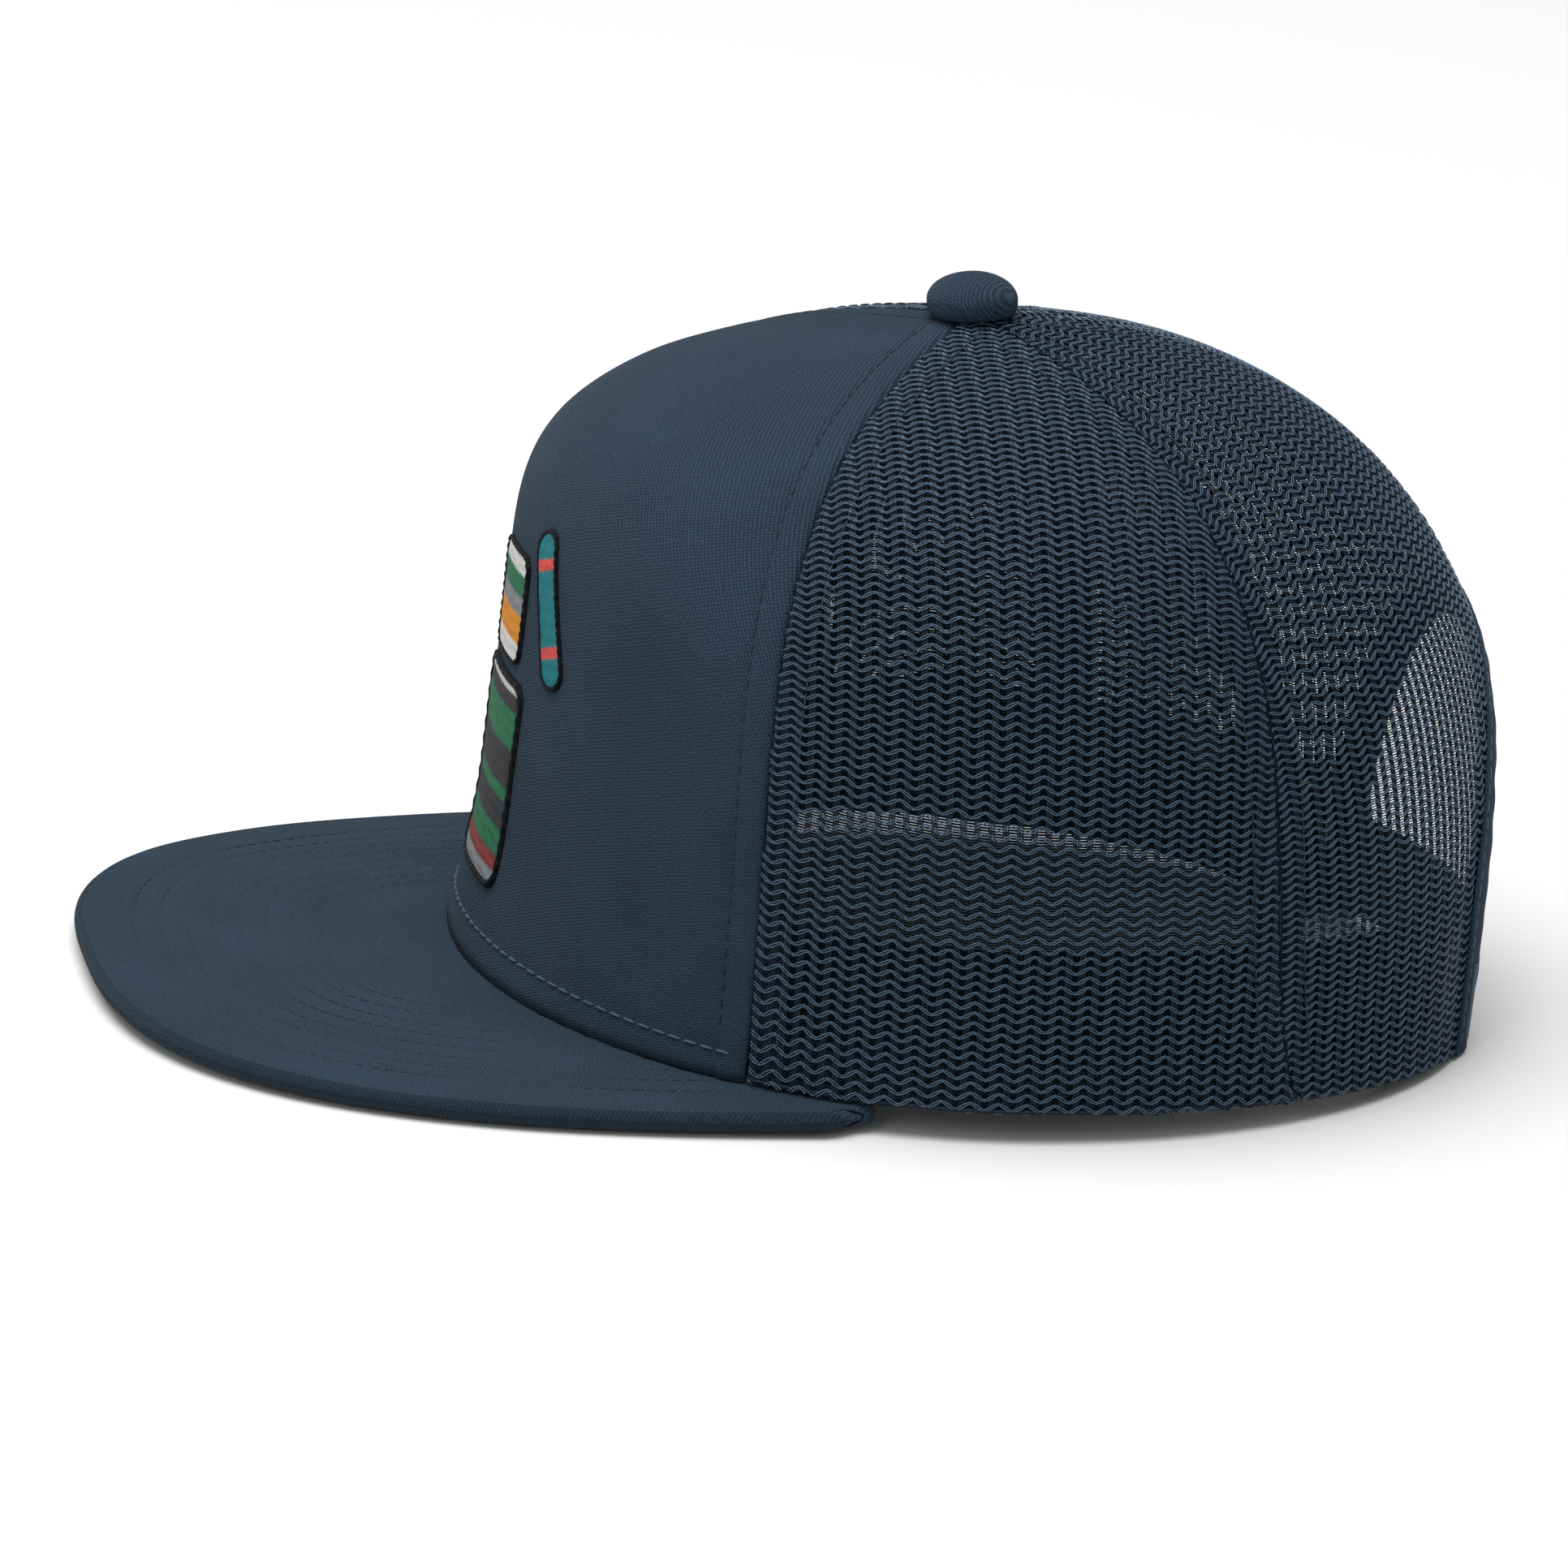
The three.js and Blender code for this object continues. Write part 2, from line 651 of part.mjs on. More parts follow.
// A raised patch on the front panel, with a rounded outline in X and Z.
function embroidery({ x, z, halfWidth, halfHeight, corner, lean }) {
  const w = halfWidth;
  const h = halfHeight;
  const shape = new THREE.Shape();
  shape.moveTo(-w + corner, -h);
  shape.lineTo(w - corner, -h);
  shape.absarc(w - corner, -h + corner, corner, -Math.PI / 2, 0, false);
  shape.absarc(w - corner, h - corner, corner, 0, Math.PI / 2, false);
  shape.absarc(-w + corner, h - corner, corner, Math.PI / 2, Math.PI, false);
  shape.absarc(-w + corner, -h + corner, corner, Math.PI, Math.PI * 1.5, false);
  const geometry = new THREE.ExtrudeGeometry(shape, { depth: 80, bevelEnabled: false, curveSegments: 4 });
  geometry.rotateX(Math.PI / 2);
  geometry.rotateY(radians(lean));
  geometry.translate(x, -30, z);
  const cloth = toSolid(wall({
    from: () => -FRONT_SEAM_TOP,
    to: () => FRONT_SEAM_TOP,
    high: CROWN_TOP * 9 / CROWN_ROWS,
    outer: GAP + EMBROIDERY,
    inner: GAP,
    columns: 19,
    rows: 9,
  }));
  return fromSolid(cloth.intersect(toSolid(geometry)));
}

// ---- Assembly -----------------------------------------------------------------------------

const NAVY = 0x34475a;
const DEEP_NAVY = 0x28333f;
const cap = new THREE.Group();

function add(name, geometry, color, roughness = 0.9, metalness = 0) {
  const material = new THREE.MeshStandardMaterial({ color, roughness, metalness });
  const mesh = new THREE.Mesh(geometry, material);
  mesh.name = name;
  cap.add(mesh);
  return mesh;
}

add("front_panel", frontPanel(), NAVY);
add("front_buckram", frontBuckram(), 0xd9dade);
for (const [name, side] of [["left", 1], ["right", -1]]) {
  add(`${name}_side_mesh_panel`, panelBetween(frontSeam, sideSeam, side, 10), DEEP_NAVY, 0.6);
  add(`${name}_back_mesh_panel`, backMeshPanel(side), DEEP_NAVY, 0.6);
  add(`front_${name}_seam_tape`, seamTape(frontSeam, side, 0.5), NAVY);
  add(`side_${name}_seam_tape`, seamTape(sideSeam, side, 0.5), NAVY);
  add(`${name}_strap_stitch`, strapStitch(side), NAVY);
}
add("back_centre_seam_tape", seamTape(backSeam, 1, 6.5), NAVY);
add("arch_binding", archBinding(), NAVY);
add("sweatband", sweatband(), DEEP_NAVY);
add("sweatband_interlining", sweatbandInterlining(), 0xe6e6e2);

add("visor_top_cloth", visorTopCloth(), NAVY);
add("visor_board", visorBoard(), 0xeeeeee, 0.5);
add("visor_under_cloth", visorUnderCloth(), NAVY);

const button = [
  add("button_cover", buttonCover(), NAVY),
  add("button_shell", buttonShell(), 0xa9adb0, 0.35, 1),
  add("button_rivet", buttonRivet(), 0xa9adb0, 0.35, 1),
  add("button_washer", buttonWasher(), 0xa9adb0, 0.35, 1),
];
for (const piece of button) {
  piece.position.copy(crownPoint(0, 1));
  piece.rotation.x = radians(BUTTON_TILT);
}

const HOLE_STRAP = { side: -1, face: HOLE_STRAP_FACE, holes: true };
const PEG_STRAP = { side: 1, face: PEG_STRAP_FACE, holes: false };
add("hole_strap", strap(HOLE_STRAP), DEEP_NAVY, 0.45);
add("hole_strap_tab", strapTab(HOLE_STRAP.side, HOLE_STRAP.face), DEEP_NAVY, 0.45);
add("peg_strap", strap(PEG_STRAP), DEEP_NAVY, 0.45);
add("peg_strap_tab", strapTab(PEG_STRAP.side, PEG_STRAP.face), DEEP_NAVY, 0.45);

add("embroidered_patch", embroidery(PATCH), 0x3a8c69, 0.7);
add("embroidered_bar", embroidery(BAR), 0xfaa51e, 0.7);
add("embroidered_pill", embroidery(PILL), 0xeb695f, 0.7);

export default cap;
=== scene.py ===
import math

import bpy
import numpy as np
from mathutils import Matrix, Vector


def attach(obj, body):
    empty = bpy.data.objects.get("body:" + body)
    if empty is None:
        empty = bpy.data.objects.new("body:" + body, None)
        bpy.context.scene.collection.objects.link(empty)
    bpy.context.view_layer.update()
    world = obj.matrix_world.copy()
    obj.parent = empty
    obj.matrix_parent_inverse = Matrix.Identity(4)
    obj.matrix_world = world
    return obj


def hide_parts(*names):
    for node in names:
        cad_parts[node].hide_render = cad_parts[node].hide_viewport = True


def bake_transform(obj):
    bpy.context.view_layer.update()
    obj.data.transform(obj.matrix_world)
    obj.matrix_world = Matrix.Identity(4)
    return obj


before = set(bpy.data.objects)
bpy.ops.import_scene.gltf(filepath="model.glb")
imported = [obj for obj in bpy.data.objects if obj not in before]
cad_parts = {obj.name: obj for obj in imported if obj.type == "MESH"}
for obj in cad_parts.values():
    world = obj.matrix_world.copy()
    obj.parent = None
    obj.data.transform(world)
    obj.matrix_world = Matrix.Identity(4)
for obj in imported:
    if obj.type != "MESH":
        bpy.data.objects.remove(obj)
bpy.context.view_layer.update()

# ---- Driving dimensions, in millimetres, as in the CAD part ---------------------------------
FRONT_REACH, BACK_REACH, HALF_WIDTH, CROWN_HEIGHT, APEX_SHIFT = 92.7, 105.2, 90.9, 130.9, -2.8
FRONT_BASE_Z, SIDE_BASE_Z = 6.8, 5.2
FRONT_PROFILE = [[0.742, 0.717], [1.244, 0.869], [0.38, 0.948]]
SIDE_PROFILE = [[0.922, 0.396], [1.064, 0.867], [0.396, 0.966]]
BACK_PROFILE = [[1.06, 0.453], [1.044, 0.911], [0.341, 1.011]]
PANEL, TAPE_FACE, TAPE, TAPE_HALF_WIDTH = 0.8, -1.1, 0.6, 5.5
ARCH_HALF, ARCH_SHOULDER, ARCH_TOP = 38.5, 20, 74
ARCH_FOOT = 180 - math.degrees(math.asin(ARCH_HALF / HALF_WIDTH))
BAND_FACE, BAND_INSIDE, BAND_HEIGHT, BAND_FOOT, BAND_END = -2.7, -5.3, 29.5, 1, 153
VISOR_LENGTH, VISOR_HALF, VISOR_WIDEST_Y, VISOR_POWER = 69.6, 88.5, -32.5, 2.7
VISOR_TOP_Z, VISOR_DROOP, VISOR_PITCH, VISOR_SEAM, VISOR_TUCK, VISOR_THICK = 6.4, 2.4, -0.012, 71, -2.3, 4.0
BUTTON_RADIUS, BUTTON_HEIGHT, BUTTON_WAIST, BUTTON_TILT = 8.5, 7.7, 2.8, 5
STRAP_FOOT, STRAP_WIDTH, STRAP_THICK, STRAP_TAIL, STRAP_HINGE_X, TAB_END = 2, 20, 1.2, 18, 36, 149
SNAP_PITCH, SNAP_COUNT, FIRST_SNAP, HOLE_RADIUS, PEG_RADIUS, PEG_STAND = 5.6, 7, 19.6, 2.35, 1.4, 2.3


def unit(v):
    return v / np.maximum(np.linalg.norm(v, axis=-1, keepdims=True), 1e-12)


def bump(d, middle, width):
    return np.exp(-(((d - middle) / width) ** 2))


def smooth(x):
    x = np.clip(x, 0, 1)
    return x * x * (3 - 2 * x)


def waves(p, scale, seed):
    """Slow, even unevenness between about -1 and 1, from a few sine waves."""
    rng = np.random.default_rng(seed)
    total = np.zeros(p.shape[:-1])
    for _ in range(7):
        k = rng.normal(size=3) / scale * 2.2
        total += np.sin(p @ k + rng.uniform(0, 6.28))
    return total / 3.2


# ---- Crown surface --------------------------------------------------------------------------
def together(*values):
    return np.broadcast_arrays(*(np.asarray(v, float) for v in values))


def crown(th, t):
    """The crown surface: th is degrees round from the front, t runs from 0 at the base to 1 at the top."""
    th, t = together(th, t)
    s, c = np.sin(np.radians(th)), np.cos(np.radians(th))
    front, back = np.maximum(c, 0) ** 2, np.minimum(c, 0) ** 2
    side = 1 - front - back
    u = 1 - t
    reach, rise = u**4, t**4
    weights = (4 * u**3 * t, 6 * u * u * t * t, 4 * u * t**3)
    for w, f, d, b in zip(weights, FRONT_PROFILE, SIDE_PROFILE, BACK_PROFILE):
        reach = reach + w * (front * f[0] + side * d[0] + back * b[0])
        rise = rise + w * (front * f[1] + side * d[1] + back * b[1])
    foot = math.cos(math.radians(ARCH_FOOT))
    base = np.where(c > 0, SIDE_BASE_Z + (FRONT_BASE_Z - SIDE_BASE_Z) * c * c,
                    SIDE_BASE_Z * (1 - c * c / foot**2))
    depth = np.where(c > 0, FRONT_REACH, BACK_REACH)
    return np.stack([reach * HALF_WIDTH * s, -reach * depth * c + APEX_SHIFT * rise,
                     base + (CROWN_HEIGHT - base) * rise], -1)


def normal(th, t):
    around = crown(th + 0.5, t) - crown(th - 0.5, t)
    up = crown(th, np.minimum(t + 0.004, 1)) - crown(th, t - 0.004)
    return unit(np.cross(around, up))


def off(th, t, o):
    """A point that stands off the crown by o."""
    th, t, o = together(th, t, o)
    return crown(th, t) + normal(th, t) * o[..., None]


def per_degree(th, t):
    """Millimetres round the crown for one degree."""
    return np.linalg.norm(crown(th + 0.5, t) - crown(th - 0.5, t), axis=-1)


def at_height(th, z):
    """The t at which the crown reaches a height."""
    th, z = together(th, z)
    low, high = np.zeros(th.shape), np.full(th.shape, 0.9)
    for _ in range(26):
        middle = (low + high) / 2
        under = crown(th, middle)[..., 2] < z
        low, high = np.where(under, middle, low), np.where(under, high, middle)
    return (low + high) / 2


def locate(x, z, back):
    """(theta, t) of the crown point seen at x and z, on its front or its back."""
    x, z = together(x, z)
    th = np.degrees(np.arcsin(np.clip(x / 95, -0.95, 0.95)))
    if back:
        th = 180 - th
    t = at_height(th, z)
    for _ in range(12):
        p = crown(th, t)
        a, b = crown(th + 0.01, t) - p, crown(th, t + 1e-4) - p
        ex, ez = x - p[..., 0], z - p[..., 2]
        det = a[..., 0] * b[..., 2] - b[..., 0] * a[..., 2]
        th = th + 0.01 * (ex * b[..., 2] - b[..., 0] * ez) / det
        t = t + 1e-4 * (a[..., 0] * ez - ex * a[..., 2]) / det
    return th, t


def front_seam(t):
    return 55.8 - 3.0 * t


def side_seam(t):
    return 115.5 + 3.5 * np.exp(-np.maximum(t, 0) / 0.07)


def back_seam(t):
    return 180.0 + 0 * t


class Flat:
    """A crown panel laid flat about its middle line: w is across and s is up from the base edge."""

    def __init__(self, centre):
        self.t = np.linspace(-0.03, 1.0, 207)
        line = crown(centre, self.t)
        s = run_along(line)
        self.s = s - np.interp(0, self.t, s)
        rho = np.hypot(line[:, 0], line[:, 1] - APEX_SHIFT)
        slope = np.abs(np.gradient(rho, self.s))
        self.curl = np.minimum(slope / np.maximum(rho, 1) / 2, 0.02)
        self.th = centre + np.linspace(-80, 80, 321)
        grid = crown(self.th[:, None], self.t[None])
        arc = np.cumsum(np.linalg.norm(np.diff(grid, axis=0), axis=-1), axis=0)
        arc = np.concatenate([np.zeros((1, len(self.t))), arc])
        self.arc = (arc - arc[160]).T.copy()
        self.w = np.linspace(-110, 110, 441)
        self.table = np.stack([np.interp(self.w, row, self.th) for row in self.arc])

    def look(self, table, t, x, x0, dx):
        j = np.clip((t + 0.03) / (self.t[1] - self.t[0]), 0, table.shape[0] - 1.001)
        i = np.clip((x - x0) / dx, 0, table.shape[1] - 1.001)
        j0, i0 = j.astype(int), i.astype(int)
        fj, fi = j - j0, i - i0
        low = table[j0, i0] * (1 - fi) + table[j0, i0 + 1] * fi
        high = table[j0 + 1, i0] * (1 - fi) + table[j0 + 1, i0 + 1] * fi
        return low * (1 - fj) + high * fj

    def place(self, w, s):
        s = s - w * w * np.interp(s, self.s, self.curl)
        t = np.interp(s, self.s, self.t)
        return self.look(self.table, t, w, -110, 0.5), t

    def lay(self, th, t):
        """(w, s) of a place on the crown."""
        th, t = np.broadcast_arrays(th, t)
        return self.look(self.arc, t, th, self.th[0], 0.5), np.interp(t, self.t, self.s)


# ---- Meshes ---------------------------------------------------------------------------------
def set_flat(mesh, flat):
    attribute = mesh.attributes.new("flat", "FLOAT_VECTOR", "POINT")
    attribute.data.foreach_set("vector", np.asarray(flat, np.float32).ravel())


def piece(name, body, material, verts, faces, flat=None, replaces=()):
    """A piece of the cap, from points in millimetres and lists of faces.

    flat is where each point is on its cloth, given once where both sides of a shell share it.
    """
    faces = [np.asarray(f) for f in faces if len(f)]
    mesh = bpy.data.meshes.new(name)
    verts = np.asarray(verts, float).reshape(-1, 3)
    mesh.vertices.add(len(verts))
    mesh.vertices.foreach_set("co", (verts * 0.001).ravel())
    corners = np.concatenate([f.ravel() for f in faces])
    sizes = np.concatenate([np.full(len(f), f.shape[1]) for f in faces])
    mesh.loops.add(len(corners))
    mesh.loops.foreach_set("vertex_index", corners.astype(np.int32))
    mesh.polygons.add(len(sizes))
    starts = np.concatenate([[0], np.cumsum(sizes)[:-1]])
    mesh.polygons.foreach_set("loop_start", starts.astype(np.int32))
    mesh.polygons.foreach_set("use_smooth", np.ones(len(sizes), bool))
    mesh.update(calc_edges=True)
    set_flat(mesh, verts if flat is None else np.resize(flat, verts.shape))
    mesh.validate()
    ob = bpy.data.objects.new(name, mesh)
    bpy.context.scene.collection.objects.link(ob)
    mesh.materials.append(material)
    if body:
        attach(ob, body)
    if replaces:
        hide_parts(*replaces)
    return ob


def quads(a):
    return np.stack([a[:-1, :-1], a[1:, :-1], a[1:, 1:], a[:-1, 1:]], -1).reshape(-1, 4)


def grid_index(n, m):
    return np.arange(n * m).reshape(n, m)


def run_along(points):
    """Distance along a line of points, from its start."""
    return np.concatenate([[0], np.cumsum(np.linalg.norm(np.diff(points, axis=0), axis=1))])


def closed_rings(index):
    """Faces of a skin whose every row of points is a closed ring."""
    nxt = np.roll(index, -1, axis=1)
    return np.stack([index[:-1], index[1:], nxt[1:], nxt[:-1]], -1).reshape(-1, 4)


def closed_spokes(index):
    """Faces of a skin whose rows of points stand in a closed circle."""
    nxt = np.roll(index, -1, axis=0)
    return np.stack([index[:, :-1], index[:, 1:], nxt[:, 1:], nxt[:, :-1]], -1).reshape(-1, 4)


def meshed(*parts):
    return np.stack(np.broadcast_arrays(*parts), -1)


def flat_grid(*parts):
    return meshed(*parts).reshape(-1, 3)


def sleeve(points, section, middle):
    """Faces, end faces and flat coordinates of a closed section carried along a line."""
    index = grid_index(*points.shape[:2])
    flat = flat_grid(run_along(points[:, middle])[:, None], run_along(section)[None], 0.0)
    return closed_rings(index), index[:1], index[-1:], flat


def shell(outer, inner, flip=False):
    """Points and faces of a closed sheet between two grids of points."""
    n, m = outer.shape[:2]
    count = n * m
    index = grid_index(n, m)
    ring = np.concatenate([index[:, 0], index[-1, 1:], index[-2::-1, -1], index[0, -2:0:-1]])
    after = np.roll(ring, -1)
    faces = np.concatenate([quads(index), quads(index + count)[:, ::-1],
                            np.stack([ring, ring + count, after + count, after], -1)])
    if flip:
        faces = faces[:, ::-1]
    return np.concatenate([outer.reshape(-1, 3), inner.reshape(-1, 3)]), faces


def declare_sheet(grid):
    """Works out the flat area of a sewn panel from its grid of points; the result is not used."""
    a, b = grid[1:, 1:] - grid[:-1, :-1], grid[1:, :-1] - grid[:-1, 1:]
    area = np.linalg.norm(np.cross(a, b), axis=-1).sum() / 2e6


def compact(verts, faces):
    """Drops the points that no face uses."""
    used, back = np.unique(faces.ravel(), return_inverse=True)
    return verts[used], back.reshape(faces.shape)


def tubes(path, radius, sides, keep, depth_radius):
    """Round yarns along paths in flat coordinates. keep says which steps of each path to make."""
    count, points = path.shape[:2]
    along = unit(np.gradient(path, axis=1))
    across = unit(np.stack([-along[..., 1], along[..., 0], 0 * along[..., 0]], -1))
    angle = (np.arange(sides) + 0.5) / sides * 2 * np.pi
    ring = (path[:, :, None] + radius * np.cos(angle)[None, None, :, None] * across[:, :, None]
            + depth_radius * np.sin(angle)[None, None, :, None] * np.array([0, 0, 1.0]))
    index = np.arange(count * points * sides).reshape(count, points, sides)
    nxt = np.roll(index, -1, axis=2)
    faces = np.stack([index[:, :-1], nxt[:, :-1], nxt[:, 1:], index[:, 1:]], -1)
    return ring.reshape(-1, 3), faces[keep].reshape(-1, 4)


def capsules(centre, along, up, length, radius, sink=0.12):
    """Stitches: short rounded lengths of thread that arch over the cloth and dip in at both ends."""
    sides = 6
    centre, along, up = (np.asarray(a, float).reshape(-1, 3) for a in (centre, along, up))
    along = unit(along)
    up = unit(up - along * np.sum(up * along, -1, keepdims=True))
    side = np.cross(up, along)
    x = np.array([-1, -0.8, -0.35, 0.35, 0.8, 1])
    size = np.array([0.35, 0.8, 1, 1, 0.8, 0.35])
    dip = -sink * x**4
    a = np.arange(sides) / sides * 2 * np.pi
    n = len(centre)
    length = np.broadcast_to(np.asarray(length, float), (n,))
    verts = (centre[:, None, None] + (x[None] * length[:, None] / 2)[:, :, None, None] * along[:, None, None]
             + dip[None, :, None, None] * up[:, None, None]
             + radius * size[None, :, None, None] * (np.cos(a)[None, None, :, None] * side[:, None, None]
                                                     + np.sin(a)[None, None, :, None] * up[:, None, None]))
    index = np.arange(n * 6 * sides).reshape(n, 6, sides)
    nxt = np.roll(index, -1, axis=2)
    body = np.stack([index[:, :-1], index[:, 1:], nxt[:, 1:], nxt[:, :-1]], -1).reshape(-1, 4)
    first, last = (np.stack([index[:, k, (0, 1, 2, 3)], index[:, k, (0, 3, 4, 5)]], 1).reshape(-1, 4)
                   for k in (0, 5))
    flat = flat_grid((x * 0.5)[None, :, None] * length[:, None, None], a[None, None] * radius,
                     np.arange(n)[:, None, None] * 1.7)
    return verts.reshape(-1, 3), np.concatenate([body, first, last[:, ::-1]]), flat


def stitch_rows(name, material, rows, pitch, length, radius):
    """Rows of stitches along paths: rows is a list of (points, outward directions)."""
    def at(q, run, a):
        return np.stack([np.interp(q, run, a[:, k]) for k in range(3)], -1)

    parts, faces, flats, base = [], [], [], 0
    for points, up in rows:
        run = run_along(points)
        if run[-1] < pitch:
            continue
        where = np.arange(pitch / 2, run[-1], pitch)
        along = at(where + 0.3, run, points) - at(where - 0.3, run, points)
        v, f, fl = capsules(at(where, run, points), along, at(where, run, up), length, radius)
        parts.append(v)
        faces.append(f + base)
        flats.append(fl)
        base += len(v)
    piece(name, "cap", material, np.concatenate(parts), [np.concatenate(faces)],
          np.concatenate(flats))


# ---- Materials ------------------------------------------------------------------------------
class Nodes:
    """A material's node tree, built from small steps. Coordinates are in millimetres."""

    def __init__(self, name, cad=False):
        self.material = bpy.data.materials.new(name)
        self.material.use_nodes = True
        self.tree = self.material.node_tree
        self.tree.nodes.clear()
        if cad:
            scale = self.new("ShaderNodeVectorMath")
            scale.operation = "SCALE"
            self.feed(scale.inputs[0], self.new("ShaderNodeTexCoord").outputs["Object"])
            self.feed(scale.inputs["Scale"], 1000)
            self.place = scale.outputs[0]
        else:
            attribute = self.new("ShaderNodeAttribute")
            attribute.attribute_name = "flat"
            self.place = attribute.outputs["Vector"]
        split = self.new("ShaderNodeSeparateXYZ")
        self.feed(split.inputs[0], self.place)
        self.x, self.y, self.z = split.outputs

    def new(self, kind):
        return self.tree.nodes.new(kind)

    def add(self, a, b, clamp=False):
        return self.math("ADD", a, b, clamp)

    def times(self, a, b):
        return self.math("MULTIPLY", a, b)

    def feed(self, socket, value):
        if isinstance(value, (int, float, tuple)):
            socket.default_value = value
        else:
            self.tree.links.new(value, socket)

    def math(self, operation, a, b=0.0, clamp=False):
        node = self.new("ShaderNodeMath")
        node.operation = operation
        node.use_clamp = clamp
        for socket, value in zip(node.inputs, (a, b)):
            self.feed(socket, value)
        return node.outputs[0]

    def sine(self, value, pitch):
        return self.math("SINE", self.times(value, 2 * math.pi / pitch))

    def noise(self, scale, detail):
        node = self.new("ShaderNodeTexNoise")
        for socket, value in (("Vector", self.place), ("Scale", scale), ("Detail", detail)):
            self.feed(node.inputs[socket], value)
        return node.outputs[0]

    def spread(self, scale, detail, size):
        """Noise about zero, of a size."""
        return self.times(self.math("SUBTRACT", self.noise(scale, detail), 0.5), size)

    def mix(self, factor, a, b, blend="MIX"):
        node = self.new("ShaderNodeMix")
        node.data_type, node.blend_type = "RGBA", blend
        for socket, value in ((0, factor), (6, a), (7, b)):
            self.feed(node.inputs[socket], value)
        return node.outputs[2]

    def ramp(self, value, stops):
        node = self.new("ShaderNodeValToRGB")
        node.color_ramp.interpolation = "CONSTANT"
        elements = node.color_ramp.elements
        while len(elements) > 1:
            elements.remove(elements[-1])
        elements[0].position, elements[0].color = stops[0]
        for position, colour in stops[1:]:
            elements.new(position).color = colour
        self.feed(node.inputs[0], value)
        return node.outputs[0]

    def finish(self, colour, height, rough, depth, sheen=0.0, metallic=0.0, specular=0.5):
        bump_node = self.new("ShaderNodeBump")
        for socket, value in (("Strength", 0.8), ("Distance", depth * 0.001), ("Height", height)):
            self.feed(bump_node.inputs[socket], value)
        shader = self.new("ShaderNodeBsdfPrincipled")
        for socket, value in (("Base Color", colour), ("Roughness", rough), ("Metallic", metallic),
                              ("Specular IOR Level", specular), ("Sheen Weight", sheen),
                              ("Sheen Roughness", 0.4), ("Normal", bump_node.outputs[0])):
            self.feed(shader.inputs[socket], value)
        output = self.new("ShaderNodeOutputMaterial")
        self.feed(output.inputs[0], shader.outputs[0])
        return self.material


def rgb(r, g, b):
    """A colour as seen on a screen, 0 to 255, in linear light."""
    """A colour of the photograph as the renderer's linear colour."""
    parts = (c / 255 for c in (r, g, b))
    return tuple(c / 12.92 if c < 0.04 else ((c + 0.055) / 1.055) ** 2.4 for c in parts) + (1.0,)


def scaled(colour, k):
    return tuple(c * k for c in colour[:3]) + (1.0,)


def cloth(name, colour, weave, pitch, depth, contrast=1.0, edge=0.0):
    """Woven cloth, a twill or a plain weave, flecked and uneven in colour, with painted shade darkening it
    near a rim.
    """
    n = Nodes(name)
    if weave == "twill":
        drift = n.times(n.noise(0.7, 2), 0.9)
        rib = n.sine(n.add(n.add(n.x, n.y), drift), pitch)
        floats = n.sine(n.math("SUBTRACT", n.times(n.x, 0.5), n.add(n.y, drift)), pitch * 0.8)
        pattern = n.add(n.times(rib, 0.65), n.times(floats, 0.35))
    else:
        pattern = n.times(n.sine(n.x, pitch), n.sine(n.y, pitch))
    height = n.add(pattern, n.times(n.noise(3.2, 3), 1.2))
    lifted = n.add(n.times(pattern, 0.5 * contrast), 0.5)
    lifted = n.add(n.add(lifted, n.spread(1.4, 3, 0.55)), n.spread(0.05, 2, 0.5), clamp=True)
    shade = n.mix(lifted, scaled(colour, 0.55), scaled(colour, 1.45))
    # Painted shade: within edge millimetres of the rim, the colour is darkened as if the rolled rim were in
    # shade.
    if edge:
        rim = n.times(n.math("LESS_THAN", n.z, edge), 0.85)
        shade = n.mix(rim, shade, scaled(colour, 0.6))
    return n.finish(shade, height, 0.9, depth, 0.03, specular=0.1)


def yarn(name, colour, rough, sheen, specular):
    """Twisted thread: fine slanted plies with slow colour variation along it."""
    n = Nodes(name)
    plies = n.sine(n.add(n.x, n.add(n.y, n.z)), 0.5)
    height = n.add(plies, n.noise(4.0, 2))
    lifted = n.add(n.times(plies, 0.18), n.noise(0.9, 3), clamp=True)
    shade = n.mix(lifted, scaled(colour, 0.66), scaled(colour, 1.34))
    return n.finish(shade, height, rough, 0.05, sheen, specular=specular)


def plain_stuff(name, colour, rough, depth, scale, metallic=0.0, cad=False, contrast=0.3):
    """Moulded, felted or brushed stuff: a fine grain with slow colour variation."""
    n = Nodes(name, cad)
    height = n.add(n.noise(scale, 3), n.times(n.noise(scale * 0.2, 2), 0.6))
    lifted = n.add(n.times(n.noise(scale * 0.5, 3), 0.6), n.times(n.noise(0.06, 2), 0.4))
    shade = n.mix(lifted, scaled(colour, 1 - contrast), scaled(colour, 1 + contrast))
    return n.finish(shade, height, rough, depth, metallic=metallic)


NAVY = rgb(39, 55, 69)
front_cloth = cloth("front_cloth_twill", NAVY, "twill", 0.85, 0.2)
board = plain_stuff("visor_board_sheet", rgb(232, 232, 230), 0.5, 0.02, 1.0, contrast=0.06)
# edge=1.5 gives the visor's rolled rim its painted shade.
visor_cloth = cloth("visor_cloth_twill", rgb(38, 54, 67), "twill", 0.95, 0.18, edge=1.5)
button_cloth = cloth("button_cloth_twill", NAVY, "twill", 0.95, 0.2)
band_cloth = cloth("sweatband_cloth_weave", rgb(27, 37, 48), "plain", 0.9, 0.1)
tape_cloth = cloth("seam_tape_weave", rgb(38, 53, 68), "plain", 1.0, 0.12)
buckram_cloth = cloth("buckram_weave", rgb(205, 207, 210), "plain", 1.6, 0.25, contrast=0.5)
